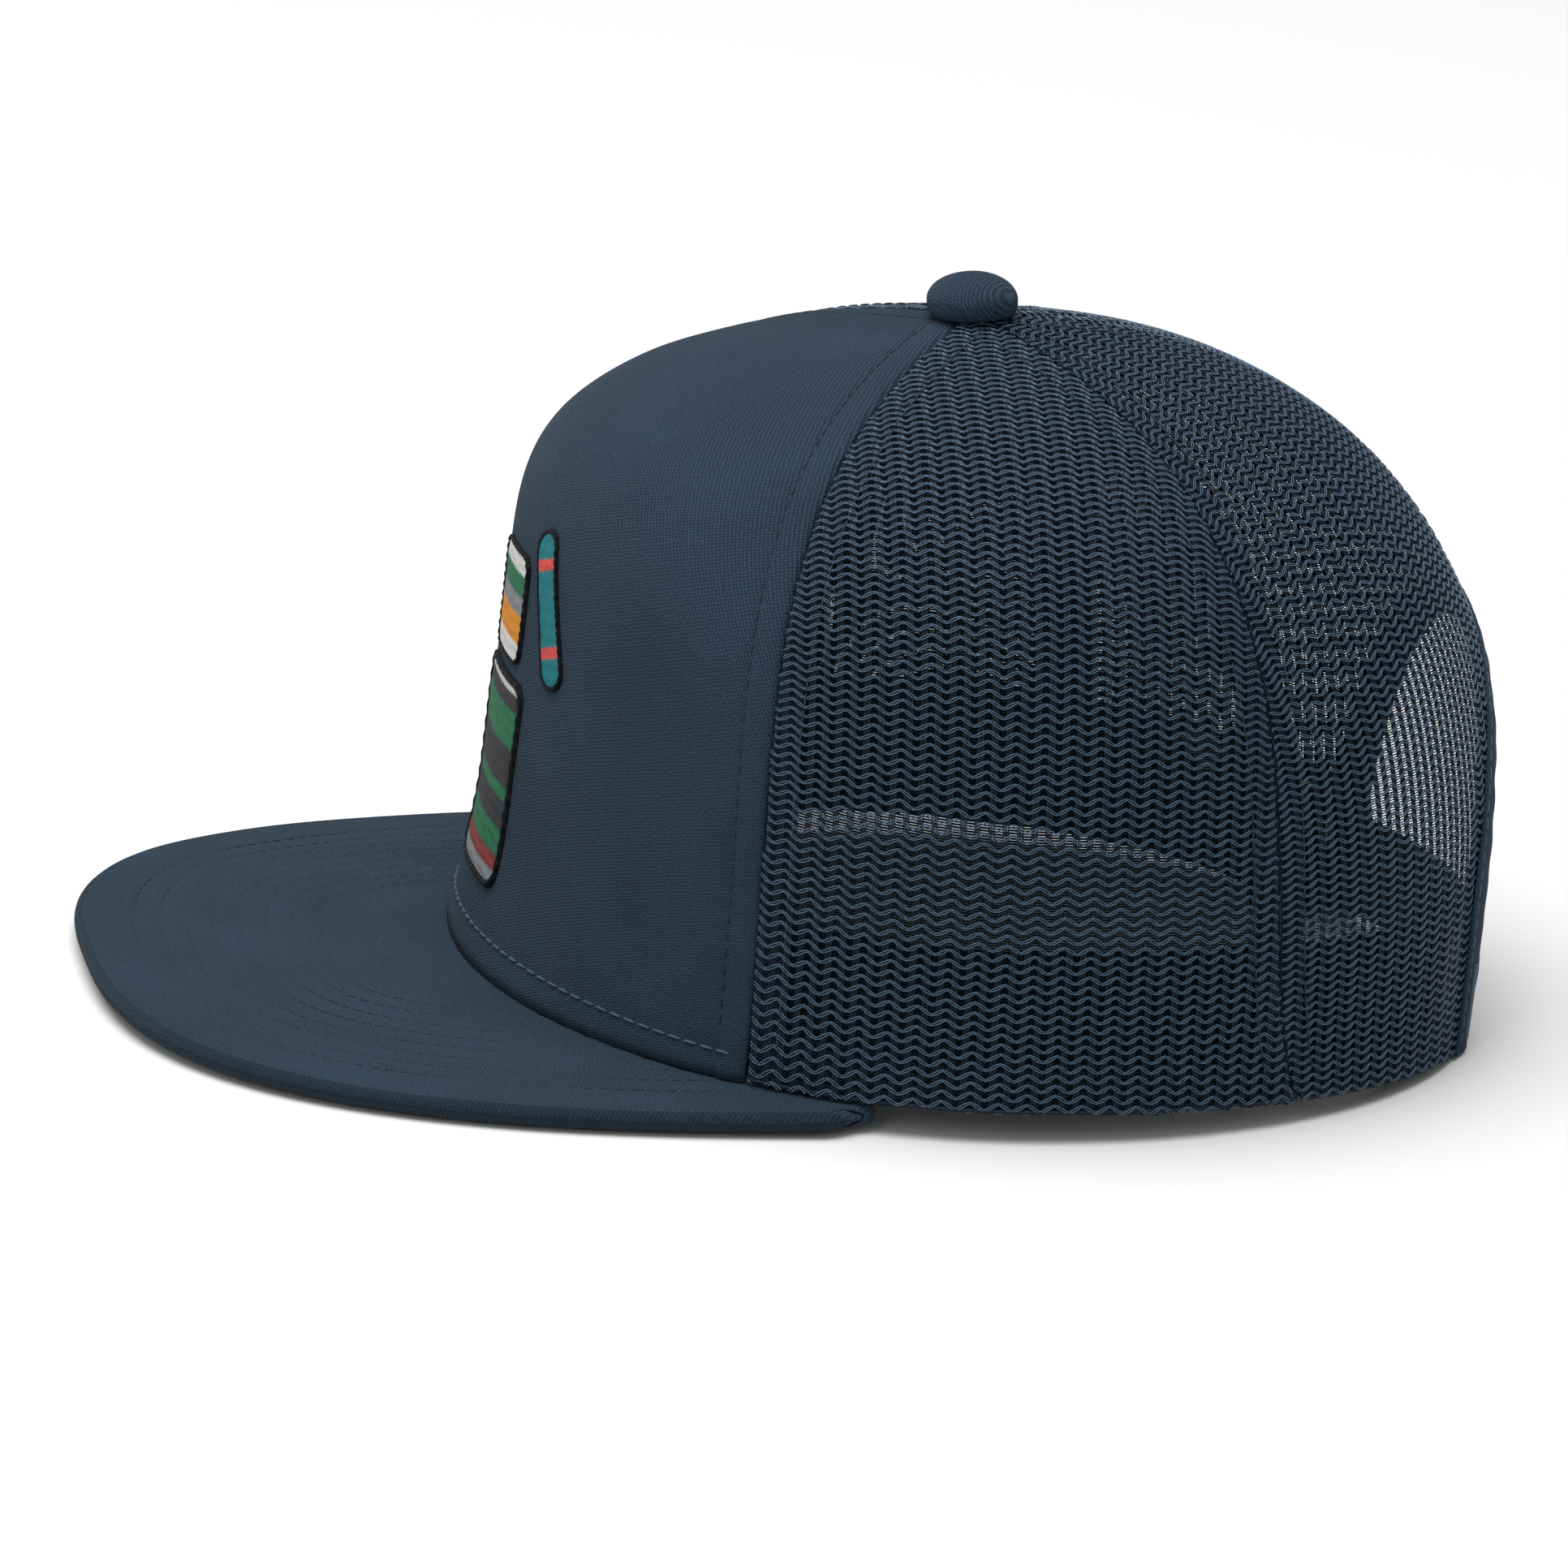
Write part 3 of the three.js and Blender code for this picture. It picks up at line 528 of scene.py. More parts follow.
# Painted highlight and shade: the courses and wales are one yarn. The course yarn is coloured lighter,
# standing in for the glints of light on the raised courses. The wale yarn is coloured darker, standing in for
# the shade on the recessed pillars.
highlit_course_yarn = yarn("mesh_course_yarn_painted_highlight", rgb(72, 95, 117), 0.32, 0.0, 0.5)
shaded_wale_yarn = yarn("mesh_wale_yarn_painted_shade", rgb(25, 37, 50), 0.6, 0.0, 0.15)
# Painted shade: the net yarn makes a dark sheet of fine yarn behind the knit. It is there only to darken the
# knit's holes.
shade_net_yarn = yarn("mesh_shade_net_yarn_painted", rgb(16, 24, 34), 0.8, 0.0, 0.08)
seam_thread = yarn("seam_thread", rgb(58, 77, 94), 0.5, 0.1, 0.3)
visor_thread = yarn("visor_thread", rgb(30, 43, 55), 0.6, 0.05, 0.2)
strap_plastic = plain_stuff("strap_plastic_grain", rgb(26, 35, 45), 0.38, 0.02, 1.6)


# ---- Front panel ----------------------------------------------------------------------------
front_flat = Flat(0)


def front_relief(th, t):
    """How far the front panel stands off the crown: rolled edges, puffed allowances, stitch grooves."""
    w, s = front_flat.lay(th, t)
    seam = (front_seam(t) - np.abs(th)) * per_degree(th, t)
    pucker = 1 + 0.22 * np.sin(w * 2 * np.pi / 3.1) + 0.22 * np.sin(s * 2 * np.pi / 3.3)
    relief = -0.34 * bump(seam, 6.2, 0.55) + 0.14 * pucker * bump(seam, 3.1, 1.7)
    relief -= 0.75 * (1 - smooth(seam / 1.3))
    relief += (-0.34 * bump(s, 6.6, 0.55) + 0.1 * pucker * bump(s, 3.4, 1.8)) * smooth(seam / 4)
    relief += -0.5 * (1 - smooth((s + 0.5) / 1.4))
    free = smooth((seam - 5) / 20) * smooth((s - 6) / 25)
    return relief + 0.5 * free * waves(crown(th, t), 34, 3), w, s


u = np.linspace(-1, 1, 211)[:, None]
t = np.linspace(0, 1, 151)[None] ** 1.02 * 0.984
edge = front_seam(t) - 0.2 / per_degree(front_seam(t), t)
th = u * edge
relief, w, s = front_relief(th, t)
outer = off(th, t, relief)
inner = off(th, t, np.minimum(relief, 0) * 0.3 - PANEL)
verts, faces = shell(outer, inner)
flat = flat_grid(w, s, 0.0)
front_panel = piece("front_panel_cloth", "cap", front_cloth, verts, [faces],
                    flat, ["front_panel"])
declare_sheet(outer)

rows = []
for side in (1, -1):
    t = np.linspace(0.035, 0.94, 260)
    th = front_seam(t) - 6.2 / per_degree(front_seam(t), t)
    rows.append((off(side * th, t, -0.16), normal(side * th, t)))
stitch_rows("front_seam_topstitch", visor_thread, rows, 3.1, 2.2, 0.2)
th = np.linspace(-54.5, 54.5, 400)
t = np.interp(6.6, front_flat.s, front_flat.t)
rows = [(off(th, t, -0.1), normal(th, t))]
stitch_rows("front_base_topstitch", seam_thread, rows, 3.4, 2.7, 0.27)

t = np.linspace(0.03, 0.983 * 14.5 / 16, 60)[None]
edge = front_seam(t) - np.minimum(5.9 / per_degree(front_seam(t), t), 24.5)
th = np.linspace(-1, 1, 91)[:, None] * edge
outer = off(th, t, -1.1)
verts, faces = shell(outer, off(th, t, -2.3))
w, s = front_flat.lay(th, t)
flat = flat_grid(w, s, 0.0)
buckram = piece("front_buckram_sheet", "cap", buckram_cloth, verts, [faces],
                flat, ["front_buckram"])
declare_sheet(outer)


# ---- Seam tapes -----------------------------------------------------------------------------
def tape(name, seam, side, low, node):
    t = np.linspace(low, 0.983 * 15.5 / 16, 130)[None]
    middle = seam(t)
    half = np.minimum(TAPE_HALF_WIDTH / per_degree(middle, t), 24)
    across = np.linspace(-1, 1, 15)[:, None]
    th = side * (middle + across * half)
    curve = -0.12 * np.abs(across) ** 3 + 0.06 * np.cos(across * 9)
    outer = off(th, t, TAPE_FACE + curve - 0.06)
    verts, faces = shell(outer, off(th, t, TAPE_FACE - TAPE), side < 0)
    s = np.interp(t, front_flat.t, front_flat.s)
    flat = flat_grid(across * TAPE_HALF_WIDTH, s, 0.0)
    ob = piece(name, "cap", tape_cloth, verts, [faces], flat, [node])
    declare_sheet(outer)


for name, side in (("left", 1), ("right", -1)):
    tape(f"front_{name}_tape", front_seam, side, 0.031, f"front_{name}_seam_tape")
    tape(f"side_{name}_tape", side_seam, side, 0.031, f"side_{name}_seam_tape")
tape("back_centre_tape", back_seam, 1, 0.405, "back_centre_seam_tape")


# ---- Knitted mesh panels --------------------------------------------------------------------
KNIT_PITCH, KNIT_ROW, KNIT_TALL, SHADE_NET_PITCH = 5.2, 1.84, 0.64, 0.5
COURSE_SIZE, WALE_SIZE, SIDE_SHADE_NET_SIZE, BACK_SHADE_NET_SIZE = (0.1, 0.12), (0.23, 0.16), (0.275, 0.07), (0.18, 0.07)


def arch_margin(p):
    """How far a point is outside the rear arch."""
    x, z = np.abs(p[..., 0]), p[..., 2] - ARCH_SHOULDER
    high = (np.sqrt((x / ARCH_HALF) ** 2 + (z / (ARCH_TOP - ARCH_SHOULDER)) ** 2) - 1) * ARCH_HALF
    return np.where(z < 0, x - ARCH_HALF, high)


def knit(name, sheet, side, near, far, back, nodes, part, doubled=False):
    """The knitted lattice of one panel: zigzag courses of two yarns, or upright wales of three."""
    span, top = 64.0, sheet.s[-1] + 4
    depth = -0.62 if doubled else -0.1
    shift = 0.25 if doubled else 0.0
    lift = KNIT_ROW / 2 if doubled else 0.0
    sets = []
    # Painted shade: a dark net laid just behind the knit, darkening its holes.
    if part == "shade_net":
        w = np.arange(-span, span, 2.2)
        s = np.arange(-4, top, SHADE_NET_PITCH) + SHADE_NET_PITCH / 2
        o = -0.74 + 0.04 * (np.arange(len(w)) % 2)[None]
        sets.append((meshed(w[None], s[:, None], o), BACK_SHADE_NET_SIZE if back else SIDE_SHADE_NET_SIZE))
    elif part != "wales":
        n = int(2 * span / KNIT_PITCH) * 8
        w = (np.arange(n + 1) - n / 2) * KNIT_PITCH / 8
        phase = 2 * np.pi * (w / KNIT_PITCH + shift)
        base_rows = np.arange(-4, top, KNIT_ROW)[:, None] + lift
        zig = KNIT_TALL * np.arcsin(0.95 * np.sin(phase)) / math.asin(0.95)
        for yarn_at in (-0.21, 0.21):
            s = base_rows + (zig + yarn_at * (1 + 0.35 * np.cos(2 * phase)))[None]
            o = depth + 0.12 + 0.12 * np.cos(2 * phase)[None]
            sets.append((meshed(w[None], s, o), COURSE_SIZE))
    if part in ("wales", "both"):
        count = int(span / (KNIT_PITCH / 2))
        middle = (np.arange(-count, count + 1) / 2 - shift) * KNIT_PITCH
        s = np.arange(-4, top, KNIT_ROW / 2) + lift
        between = np.arange(len(s)) % 2
        for yarn_at in (-0.46, 0.0, 0.46):
            w = middle[:, None] + yarn_at * (1.1 - 0.25 * between)[None]
            o = depth - 0.3 + 0.12 * between[None] - 0.05 * (yarn_at == 0)
            sets.append((meshed(w, s[None], o), WALE_SIZE))
    verts, flats, faces, base = [], [], [], 0
    for path, (radius, depth_radius) in sets:
        mid = (path[:, 1:] + path[:, :-1]) / 2
        th, t = sheet.place(mid[..., 0], mid[..., 1])
        scale = per_degree(th, t)
        to_near, to_far = (th - near(t)) * scale, (far(t) - th) * scale
        keep = (to_near > 0.35) & (to_far > 0.35) & (t > 0.0015) & (t < 0.975)
        if part == "shade_net":
            keep &= (to_near > 5.0) & (to_far > 5.0)
        if back:
            keep &= arch_margin(crown(th, t)) > 2.4
        if doubled:
            keep &= (mid[..., 1] < 9.6) | (to_near < 5.4) | (to_far < 5.4)
        v, f = tubes(path, radius, 3 if part == "shade_net" else 4, keep, depth_radius)
        v, f = compact(v, f)
        th, t = sheet.place(v[:, 0], v[:, 1])
        crowd = 0.25 * waves(crown(th, t), 40, 5 + back)
        verts.append(off(side * th, t, v[:, 2] + crowd))
        flats.append(v)
        faces.append(f + base)
        base += len(v)
    faces = np.concatenate(faces)
    if side > 0:
        faces = faces[:, ::-1]
    material = {"courses": highlit_course_yarn, "shade_net": shade_net_yarn}.get(part, shaded_wale_yarn)
    piece(name, "cap", material, np.concatenate(verts), [faces], np.concatenate(flats), nodes)


side_flat, back_flat = Flat(84), Flat(147.5)
for name, side in (("left", 1), ("right", -1)):
    for part in ("courses", "wales", "shade_net"):
        knit(f"{name}_side_mesh_{part}", side_flat, side, front_seam, side_seam, False,
             [f"{name}_side_mesh_panel"], part)
        knit(f"{name}_back_mesh_{part}", back_flat, side, side_seam, back_seam, True,
             [f"{name}_back_mesh_panel"], part)
    knit(f"{name}_side_mesh_hem", side_flat, side, front_seam, side_seam, False, [], "both", True)
    knit(f"{name}_back_mesh_hem", back_flat, side, side_seam, back_seam, True, [], "both", True)

rows = []
for side in (1, -1):
    for seam, shift in ((front_seam, 5.5), (side_seam, -5.6), (side_seam, 5.6)):
        t = np.linspace(0.03, 0.95, 260)
        th = seam(t) + shift / per_degree(seam(t), t)
        rows.append((off(side * th, t, 0.12), normal(side * th, t)))
for shift in (-5.6, 5.6):
    t = np.linspace(0.42, 0.95, 200)
    th = 180 + shift / per_degree(180.0, t)
    rows.append((off(th, t, 0.12), normal(th, t)))
stitch_rows("mesh_seam_topstitch", visor_thread, rows, 3.0, 2.5, 0.2)


def fold(name, points, radius, squeeze):
    """A rolled edge of mesh along a line: closed, and a little uneven."""
    along = unit(np.gradient(points, axis=0))
    up = unit(np.cross(along, np.cross([0, 0, 1.0], along)))
    side = np.cross(along, up)
    a = np.arange(10) / 10 * 2 * np.pi
    size = radius * (1 + 0.08 * waves(points, 6, 9))
    size[[0, -1]] *= 0.2
    verts = (points[:, None] + size[:, None, None] * (np.cos(a)[None, :, None] * side[:, None]
             + squeeze * np.sin(a)[None, :, None] * up[:, None]))
    index = grid_index(len(points), 10)
    flat = flat_grid(run_along(points)[:, None], a[None] * radius, 0.0)
    ends = [index[:1, ::-1], index[-1:]]
    # The rolled edge takes the wale yarn's colour, with its painted shade.
    piece(name, "cap", shaded_wale_yarn, verts, [closed_rings(index)[:, ::-1]] + ends, flat)


for name, side in (("left", 1), ("right", -1)):
    th = np.linspace(56.2, ARCH_FOOT - 1.5, 420)
    fold(f"{name}_mesh_base_fold", off(side * th, 0.0036, -0.5), 0.5, 0.8)


# ---- Rear arch binding ----------------------------------------------------------------------
def arch_line(m, steps):
    """Points (x, z) along the arch outline, moved out by a margin, from the left foot to the right."""
    foot = np.linspace(0.4, ARCH_SHOULDER, steps // 5, endpoint=False)
    a = np.linspace(0, math.pi, steps)
    x = ARCH_HALF * np.concatenate([np.ones(len(foot)), np.cos(a), -np.ones(len(foot))])
    z = np.concatenate([foot, ARCH_SHOULDER + (ARCH_TOP - ARCH_SHOULDER) * np.sin(a), foot[::-1]])
    dx, dz = np.gradient(x), np.gradient(z)
    size = np.hypot(dx, dz)
    return x[:, None] + (dz / size)[:, None] * m, z[:, None] - (dx / size)[:, None] * m


section = np.array([
    (6.5, 0.2), (6.3, 0.75), (5.4, 0.78), (4.9, 0.6), (4.4, 0.82), (3.2, 0.95), (1.8, 0.95), (0.6, 0.85),
    (-0.2, 0.55), (-0.7, 0.1), (-0.85, -0.4), (-0.7, -0.9), (-0.2, -1.3), (0.6, -1.6), (2.2, -1.7),
    (4.4, -1.65), (4.9, -1.45), (5.4, -1.6), (6.3, -1.6), (6.5, -1.1), (5.5, -1.05), (0.5, -1.05),
    (0.3, -0.4), (0.5, 0.3), (5.5, 0.2)])
x, z = arch_line(section[:, 0][None], 150)
z = np.maximum(z, 0.3)
th, t = locate(x, z, True)
uneven = 0.12 * waves(crown(th, t), 5, 21) * (np.abs(section[:, 1])[None] > 0.5)
points = off(th, np.maximum(t, 0.001), section[:, 1][None] + uneven)
faces, first, last, flat = sleeve(points, section, 7)
piece("arch_binding_tape", "cap", tape_cloth, points, [faces, first, last[:, ::-1]], flat,
      ["arch_binding"])
rows = []
for o, sign in ((0.72, 1), (-1.58, -1)):
    x, z = arch_line(np.array([[4.9]]), 150)
    th, t = locate(x[3:-3, 0], z[3:-3, 0], True)
    rows.append((off(th, t, o), normal(th, t) * sign))
stitch_rows("arch_binding_stitches", seam_thread, rows, 3.2, 2.5, 0.22)


# ---- Sweatband ------------------------------------------------------------------------------
def along_band(u, o, height):
    th = BAND_END * (2 * u - 1)
    base = crown(th, 0.0)[..., 2]
    step = 2.7 * smooth((np.abs(th) - 133) / (145 - 133))
    return off(th, at_height(th, base + height), o - step)


BAND_STITCHES = (4.6, 25.5)
top = BAND_HEIGHT - 1.3
section = [(BAND_FACE, h) for h in np.linspace(BAND_FOOT, top, 14)]
section += [(-4.0 + 1.3 * math.cos(a), top + 1.3 * math.sin(a)) for a in np.linspace(0.3, math.pi - 0.3, 7)]
section += [(BAND_INSIDE, h) for h in np.linspace(top, BAND_FOOT, 26)]
section = np.array(section)
u = np.linspace(0, 1, 300)[:, None]
o, h = section[:, 0][None], section[:, 1][None]
inside = smooth((-o - 3.5) / 1.5)
puff = 0.32 * bump(h, 1.5, 2.2) + 0.25 * bump(h, 15, 9)
puff = puff - 0.3 * bump(h, BAND_STITCHES[0], 0.8) - 0.3 * bump(h, BAND_STITCHES[1], 0.7)
place = along_band(u, o, h)
points = along_band(u, o + inside * (0.25 - puff * 0.8 - 0.22 * waves(place, 9, 31)), h)
faces, first, last, flat = sleeve(points, section, 5)
band = piece("sweatband_padded", "cap", band_cloth, points,
             [faces[:, ::-1], first[:, ::-1], last], flat, ["sweatband"])
u = np.linspace(0.004, 0.996, 500)
th = BAND_END * (2 * u - 1)
inward = -normal(th, at_height(th, 10))
rows = [(along_band(u, BAND_INSIDE + 0.08, height), inward) for height in BAND_STITCHES]
stitch_rows("sweatband_stitches", seam_thread, rows, 3.2, 2.4, 0.2)


# ---- Visor ----------------------------------------------------------------------------------
def visor_height(x, y):
    return VISOR_TOP_Z - VISOR_DROOP * (x / HALF_WIDTH) ** 2 + VISOR_PITCH * (-y - FRONT_REACH)


def visor_edge(s, inset):
    s, inset = together(s, inset)

    def at(q):
        a = q * np.pi / 2
        across = np.sign(q) * np.abs(np.sin(a)) ** (2 / VISOR_POWER)
        forward = np.maximum(np.cos(a), 0) ** (2 / VISOR_POWER)
        reach = FRONT_REACH + VISOR_LENGTH + VISOR_WIDEST_Y
        return np.stack([VISOR_HALF * across, VISOR_WIDEST_Y - reach * forward], -1)

    along = unit(at(np.minimum(s + 0.02, 1)) - at(np.maximum(s - 0.02, -1)))
    return at(s) + np.stack([-along[..., 1], along[..., 0]], -1) * inset[..., None]


ROW_STEP, RIM = 5.0, 2
VISOR_ROWS = [11 + ROW_STEP * k for k in range(8)]
edge_line = visor_edge(np.linspace(-1, 1, 601), 0)


def edge_distance(p):
    shape = p.shape[:-1]
    flat_points = p.reshape(-1, 2)
    out = np.empty(len(flat_points))
    for i in range(0, len(out), 4000):
        d = flat_points[i:i + 4000, None] - edge_line[None]
        out[i:i + 4000] = np.sqrt((d**2).sum(-1).min(-1))
    return out.reshape(shape)


def visor_relief(p):
    d = edge_distance(p)
    relief = sum(-0.14 * bump(d, k, 0.5) for k in VISOR_ROWS) - 0.16 * bump(d, 2.4, 0.4)
    between = 0.03 * np.cos((d - VISOR_ROWS[0] - ROW_STEP / 2) * 2 * np.pi / ROW_STEP)
    relief += np.where((d > 9) & (d < VISOR_ROWS[-1] + 2), between, 0)
    return relief + 0.12 * waves(np.dstack([p, 0 * d]), 22, 41), d


s = np.sin(np.linspace(-1, 1, 341) * math.pi / 2)[:, None]
corner = 1 - smooth((VISOR_WIDEST_Y - visor_edge(s, 0)[..., 1]) / 10)
root = off(VISOR_SEAM * s[:, 0], 0.0, VISOR_TUCK)[:, None, :2]
v = np.linspace(0, 1, 120)[None]
flat_part = root + (visor_edge(s[:, 0], RIM)[:, None] - root) * v[..., None]
bend = np.radians(np.array([72, 54, 36, 18, 4]))
rim = visor_edge(s, (RIM - RIM * np.cos(bend))[None])
plan = np.concatenate([flat_part, rim], 1)
weight = np.concatenate([v, np.ones((1, 5))], 1) ** 6
plan[..., 0] -= np.sign(s) * 2.6 * corner**2.5 * weight
relief, d = visor_relief(plan)
relief[:, 120:] = relief[:, 119:120] * np.linspace(0.8, 0, 5)[None]
drop = np.concatenate([np.zeros(120), RIM * np.sin(bend) - RIM])[None]
thin = np.sqrt(1 - 0.86 * corner**3)
height = visor_height(plan[..., 0], plan[..., 1])
top_z = height - RIM + (drop + RIM + relief) * thin
under_relief = np.concatenate([relief[:, :120] * 0.6, np.zeros((len(s), 5))], 1)
foot_z = height - RIM - (drop + RIM + under_relief * 0.5) * thin
verts, faces = shell(np.dstack([plan, top_z]), np.dstack([plan, foot_z]), True)
# The third flat coordinate is the distance to the visor's edge. It sets where the painted shade on the rim
# falls.
flat = flat_grid(plan[..., 0], plan[..., 1], d)
under_flat = flat + np.array([0, 3.3, 0])
piece("visor_cover", "cap", visor_cloth, verts, [faces],
      np.concatenate([flat, under_flat]), ["visor_top_cloth", "visor_under_cloth"])

s = np.linspace(-0.9955, 0.9955, 241)[:, None]
root = off(VISOR_SEAM * 0.955 * s[:, 0], 0.0, VISOR_TUCK)[:, None, :2]
v = np.linspace(0.03, 1, 40)[None]
plan = root + (visor_edge(s[:, 0], 2.6)[:, None] - root) * v[..., None]
height = visor_height(plan[..., 0], plan[..., 1])
outer = np.dstack([plan, height - 1.15 + 0.03 * waves(np.dstack([plan, height]), 9, 4)])
inner = np.dstack([plan, height - 2.85])
verts, faces = shell(outer, inner, True)
piece("visor_board_core", "cap", board, verts, [faces], None, ["visor_board"])

tops, unders = [], []
for inset in VISOR_ROWS:
    line = visor_edge(np.linspace(-0.97, 0.97, 700), inset)
    clear = (line[:, 0] / (HALF_WIDTH + 0.5)) ** 2 + (line[:, 1] / (FRONT_REACH + 0.5)) ** 2 > 1
    line = line[clear & (np.abs(line[:, 0]) < 86)]
    z = visor_height(line[:, 0], line[:, 1])
    up = np.tile([0, 0, 1.0], (len(line), 1))
    for part in (line[:, 0] < 0, line[:, 0] >= 0):
        tops.append((np.column_stack([line, z - 0.16])[part], up[part]))
        unders.append((np.column_stack([line, z - VISOR_THICK + 0.08])[part], -up[part]))
stitch_rows("visor_top_stitches", visor_thread, tops, 3.0, 2.3, 0.17)
stitch_rows("visor_under_stitches", visor_thread, unders, 3.0, 2.3, 0.2)

# ---- Button ---------------------------------------------------------------------------------
apex = crown(0.0, 1.0)
tilt = math.radians(BUTTON_TILT)


def button_points(r, a, z):
    x, y = r * np.cos(a), r * np.sin(a)
    sn, cs = math.sin(tilt), math.cos(tilt)
    return apex + np.stack([x, y * cs - z * sn, y * sn + z * cs], -1)


a = np.arange(72)[:, None] / 72 * 2 * np.pi
q = np.linspace(0.02, 1, 26) * math.pi / 2
r = np.append(BUTTON_RADIUS * np.sin(q), [8.42, 8.2, 7.9, 6.4, 2.2])[None]
z = np.append(BUTTON_WAIST + (BUTTON_HEIGHT - BUTTON_WAIST) * np.cos(q), [1.6, 0.8, 0.35, 0.3, 0.3])[None]
gather = 0.1 * np.sin(a * 11 + 0.6 * np.sin(a * 3)) * smooth((r - 6.6) / 1.8) * smooth((3.6 - z) / 1.5)
points = button_points(r + gather, a, z + 0.05 * np.sin(3 * a + 1) * (r / 8.5))
index = grid_index(*points.shape[:2])
flat = flat_grid(r * np.cos(a), r * np.sin(a) + z * 0.6, 0.0)
piece("button_cloth_cover", "cap", button_cloth, points,
      [closed_spokes(index), index[None, :, 0], index[None, ::-1, -1]], flat, ["button_cover"])


# ---- Snap closure ---------------------------------------------------------------------------
def strap_at(phi, o, z):
    phi, o, z = together(phi, o, z)
    s, c = np.sin(np.radians(phi)), np.cos(np.radians(phi))
    up = unit(np.stack([s / HALF_WIDTH, c / BACK_REACH, 0 * s], -1))
    return np.stack([HALF_WIDTH * s, BACK_REACH * c, z], -1) + up * o[..., None], up


def hollow(ob, cutters):
    """Cuts the cutters out of a piece, with the result applied."""
    cutter = bpy.data.objects.new("cutter", cutters)
    bpy.context.scene.collection.objects.link(cutter)
    cut = ob.modifiers.new("cut", "BOOLEAN")
    cut.operation, cut.solver, cut.object = "DIFFERENCE", "EXACT", cutter
    bpy.context.view_layer.update()
    made = bpy.data.meshes.new_from_object(ob.evaluated_get(bpy.context.evaluated_depsgraph_get()))
    ob.modifiers.clear()
    ob.data = made
    bpy.data.objects.remove(cutter)


def strap(name, side, face, nodes):
    """A moulded strap with rounded edges, and its snap holes or pegs."""
    corner_radius, edge_radius, sides = 7, 0.45, 28
    tail, root = -side * STRAP_TAIL, side * (180 - TAB_END)
    length = math.radians(abs(root - tail)) * 98
    end = corner_radius * (1 - np.cos(np.linspace(0, math.pi / 2, 12)))
    far = np.concatenate([end, np.linspace(corner_radius, length, 110)[1:]])
    phi = tail + (root - tail) * far / length
    corner = corner_radius + 0.001 - np.sqrt(corner_radius**2 - np.maximum(corner_radius - far, 0) ** 2)
    half = np.maximum(STRAP_WIDTH / 2 - corner - edge_radius, 0.02)
    middle_z, thin = STRAP_FOOT + STRAP_WIDTH / 2, STRAP_THICK / 2
    rows = []
    for up_side, out_side, start in ((1, 1, 0), (-1, 1, 90), (-1, -1, 180), (1, -1, 270)):
        for a in np.radians(start + np.array([0, 30, 60, 90])):
            z = middle_z + up_side * half + math.cos(a) * edge_radius
            o = face - thin + out_side * (thin - edge_radius) + math.sin(a) * edge_radius
            rows.append(strap_at(phi, o, z)[0])
    points = np.stack(rows, 1)
    index = grid_index(*points.shape[:2])
    skin = [closed_rings(index), index[:1], index[-1:, ::-1]]
    if side > 0:
        skin = [part[:, ::-1] for part in skin]
    ob = piece(name, None, strap_plastic, points, skin)

    holes = nodes[0] == "hole_strap"
    if holes:
        profile = [(HOLE_RADIUS + r, o) for r, o in ((0.05, -0.3), (0.15, 0.12), (0.5, 0.2), (0.85, 0.12),
                                                     (0.95, -0.3), (0.05, -0.3))]
    else:
        profile = [(2.3, -0.3), (2.25, 0.1), (PEG_RADIUS, 0.35), (PEG_RADIUS, 1.15),
                   (PEG_RADIUS + 0.42, 1.45), (PEG_RADIUS + 0.45, 1.75), (PEG_RADIUS, 2.1),
                   (0.6, PEG_STAND), (0.02, PEG_STAND)]
    a = np.arange(sides)[:, None] / sides * 2 * np.pi
    index = grid_index(len(profile), sides)
    drill = grid_index(2, sides)
    verts, faces, cut_verts, cut_faces = [], [], [], []
    for i in range(SNAP_COUNT):
        centre, up = strap_at(side * (FIRST_SNAP - SNAP_PITCH * i), face, middle_z)
        ring = np.cos(a) * unit(np.cross([0, 0, 1.0], up)) + np.sin(a) * np.array([0, 0, 1.0])
        verts += [centre + r * ring + up * o for r, o in profile]
        faces.append(closed_rings(index)[:, ::-1] + i * index.size)
        if holes:
            cut_verts += [centre + HOLE_RADIUS * ring + up * depth for depth in (3.0, -4.0)]
            walls = [closed_rings(drill)[:, ::-1], drill[:1, ::-1], drill[1:]]
            cut_faces += [tuple(f) for part in walls for f in (part + i * drill.size).tolist()]
    if holes:
        cutters = bpy.data.meshes.new("cutters")
        cutters.from_pydata((np.concatenate(cut_verts) * 0.001).tolist(), [], cut_faces)
        hollow(ob, cutters)
    co = np.empty(len(ob.data.vertices) * 3)
    ob.data.vertices.foreach_get("co", co)
    co = co.reshape(-1, 3) * 1000
    polygons = [tuple(p.vertices) for p in ob.data.polygons]
    polygons += (np.concatenate(faces) + len(co)).tolist()
    co = np.concatenate([co] + verts)
    mesh = bpy.data.meshes.new(name)
    mesh.from_pydata((co * 0.001).tolist(), [], polygons)
    mesh.polygons.foreach_set("use_smooth", np.ones(len(mesh.polygons), bool))
    mesh.update()
    mesh.set_sharp_from_angle(angle=math.radians(38))
    flat = np.column_stack([np.degrees(np.arctan2(co[:, 0], co[:, 1])) * 1.7, co[:, 2], 0 * co[:, 0]])
    set_flat(mesh, flat)
    mesh.materials.append(strap_plastic)
    ob.data = mesh
    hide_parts(*nodes)
    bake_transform(ob)


strap("hole_strap_moulded", -1, -2.0, ["hole_strap", "hole_strap_tab"])
strap("peg_strap_moulded", 1, -3.5, ["peg_strap", "peg_strap_tab"])

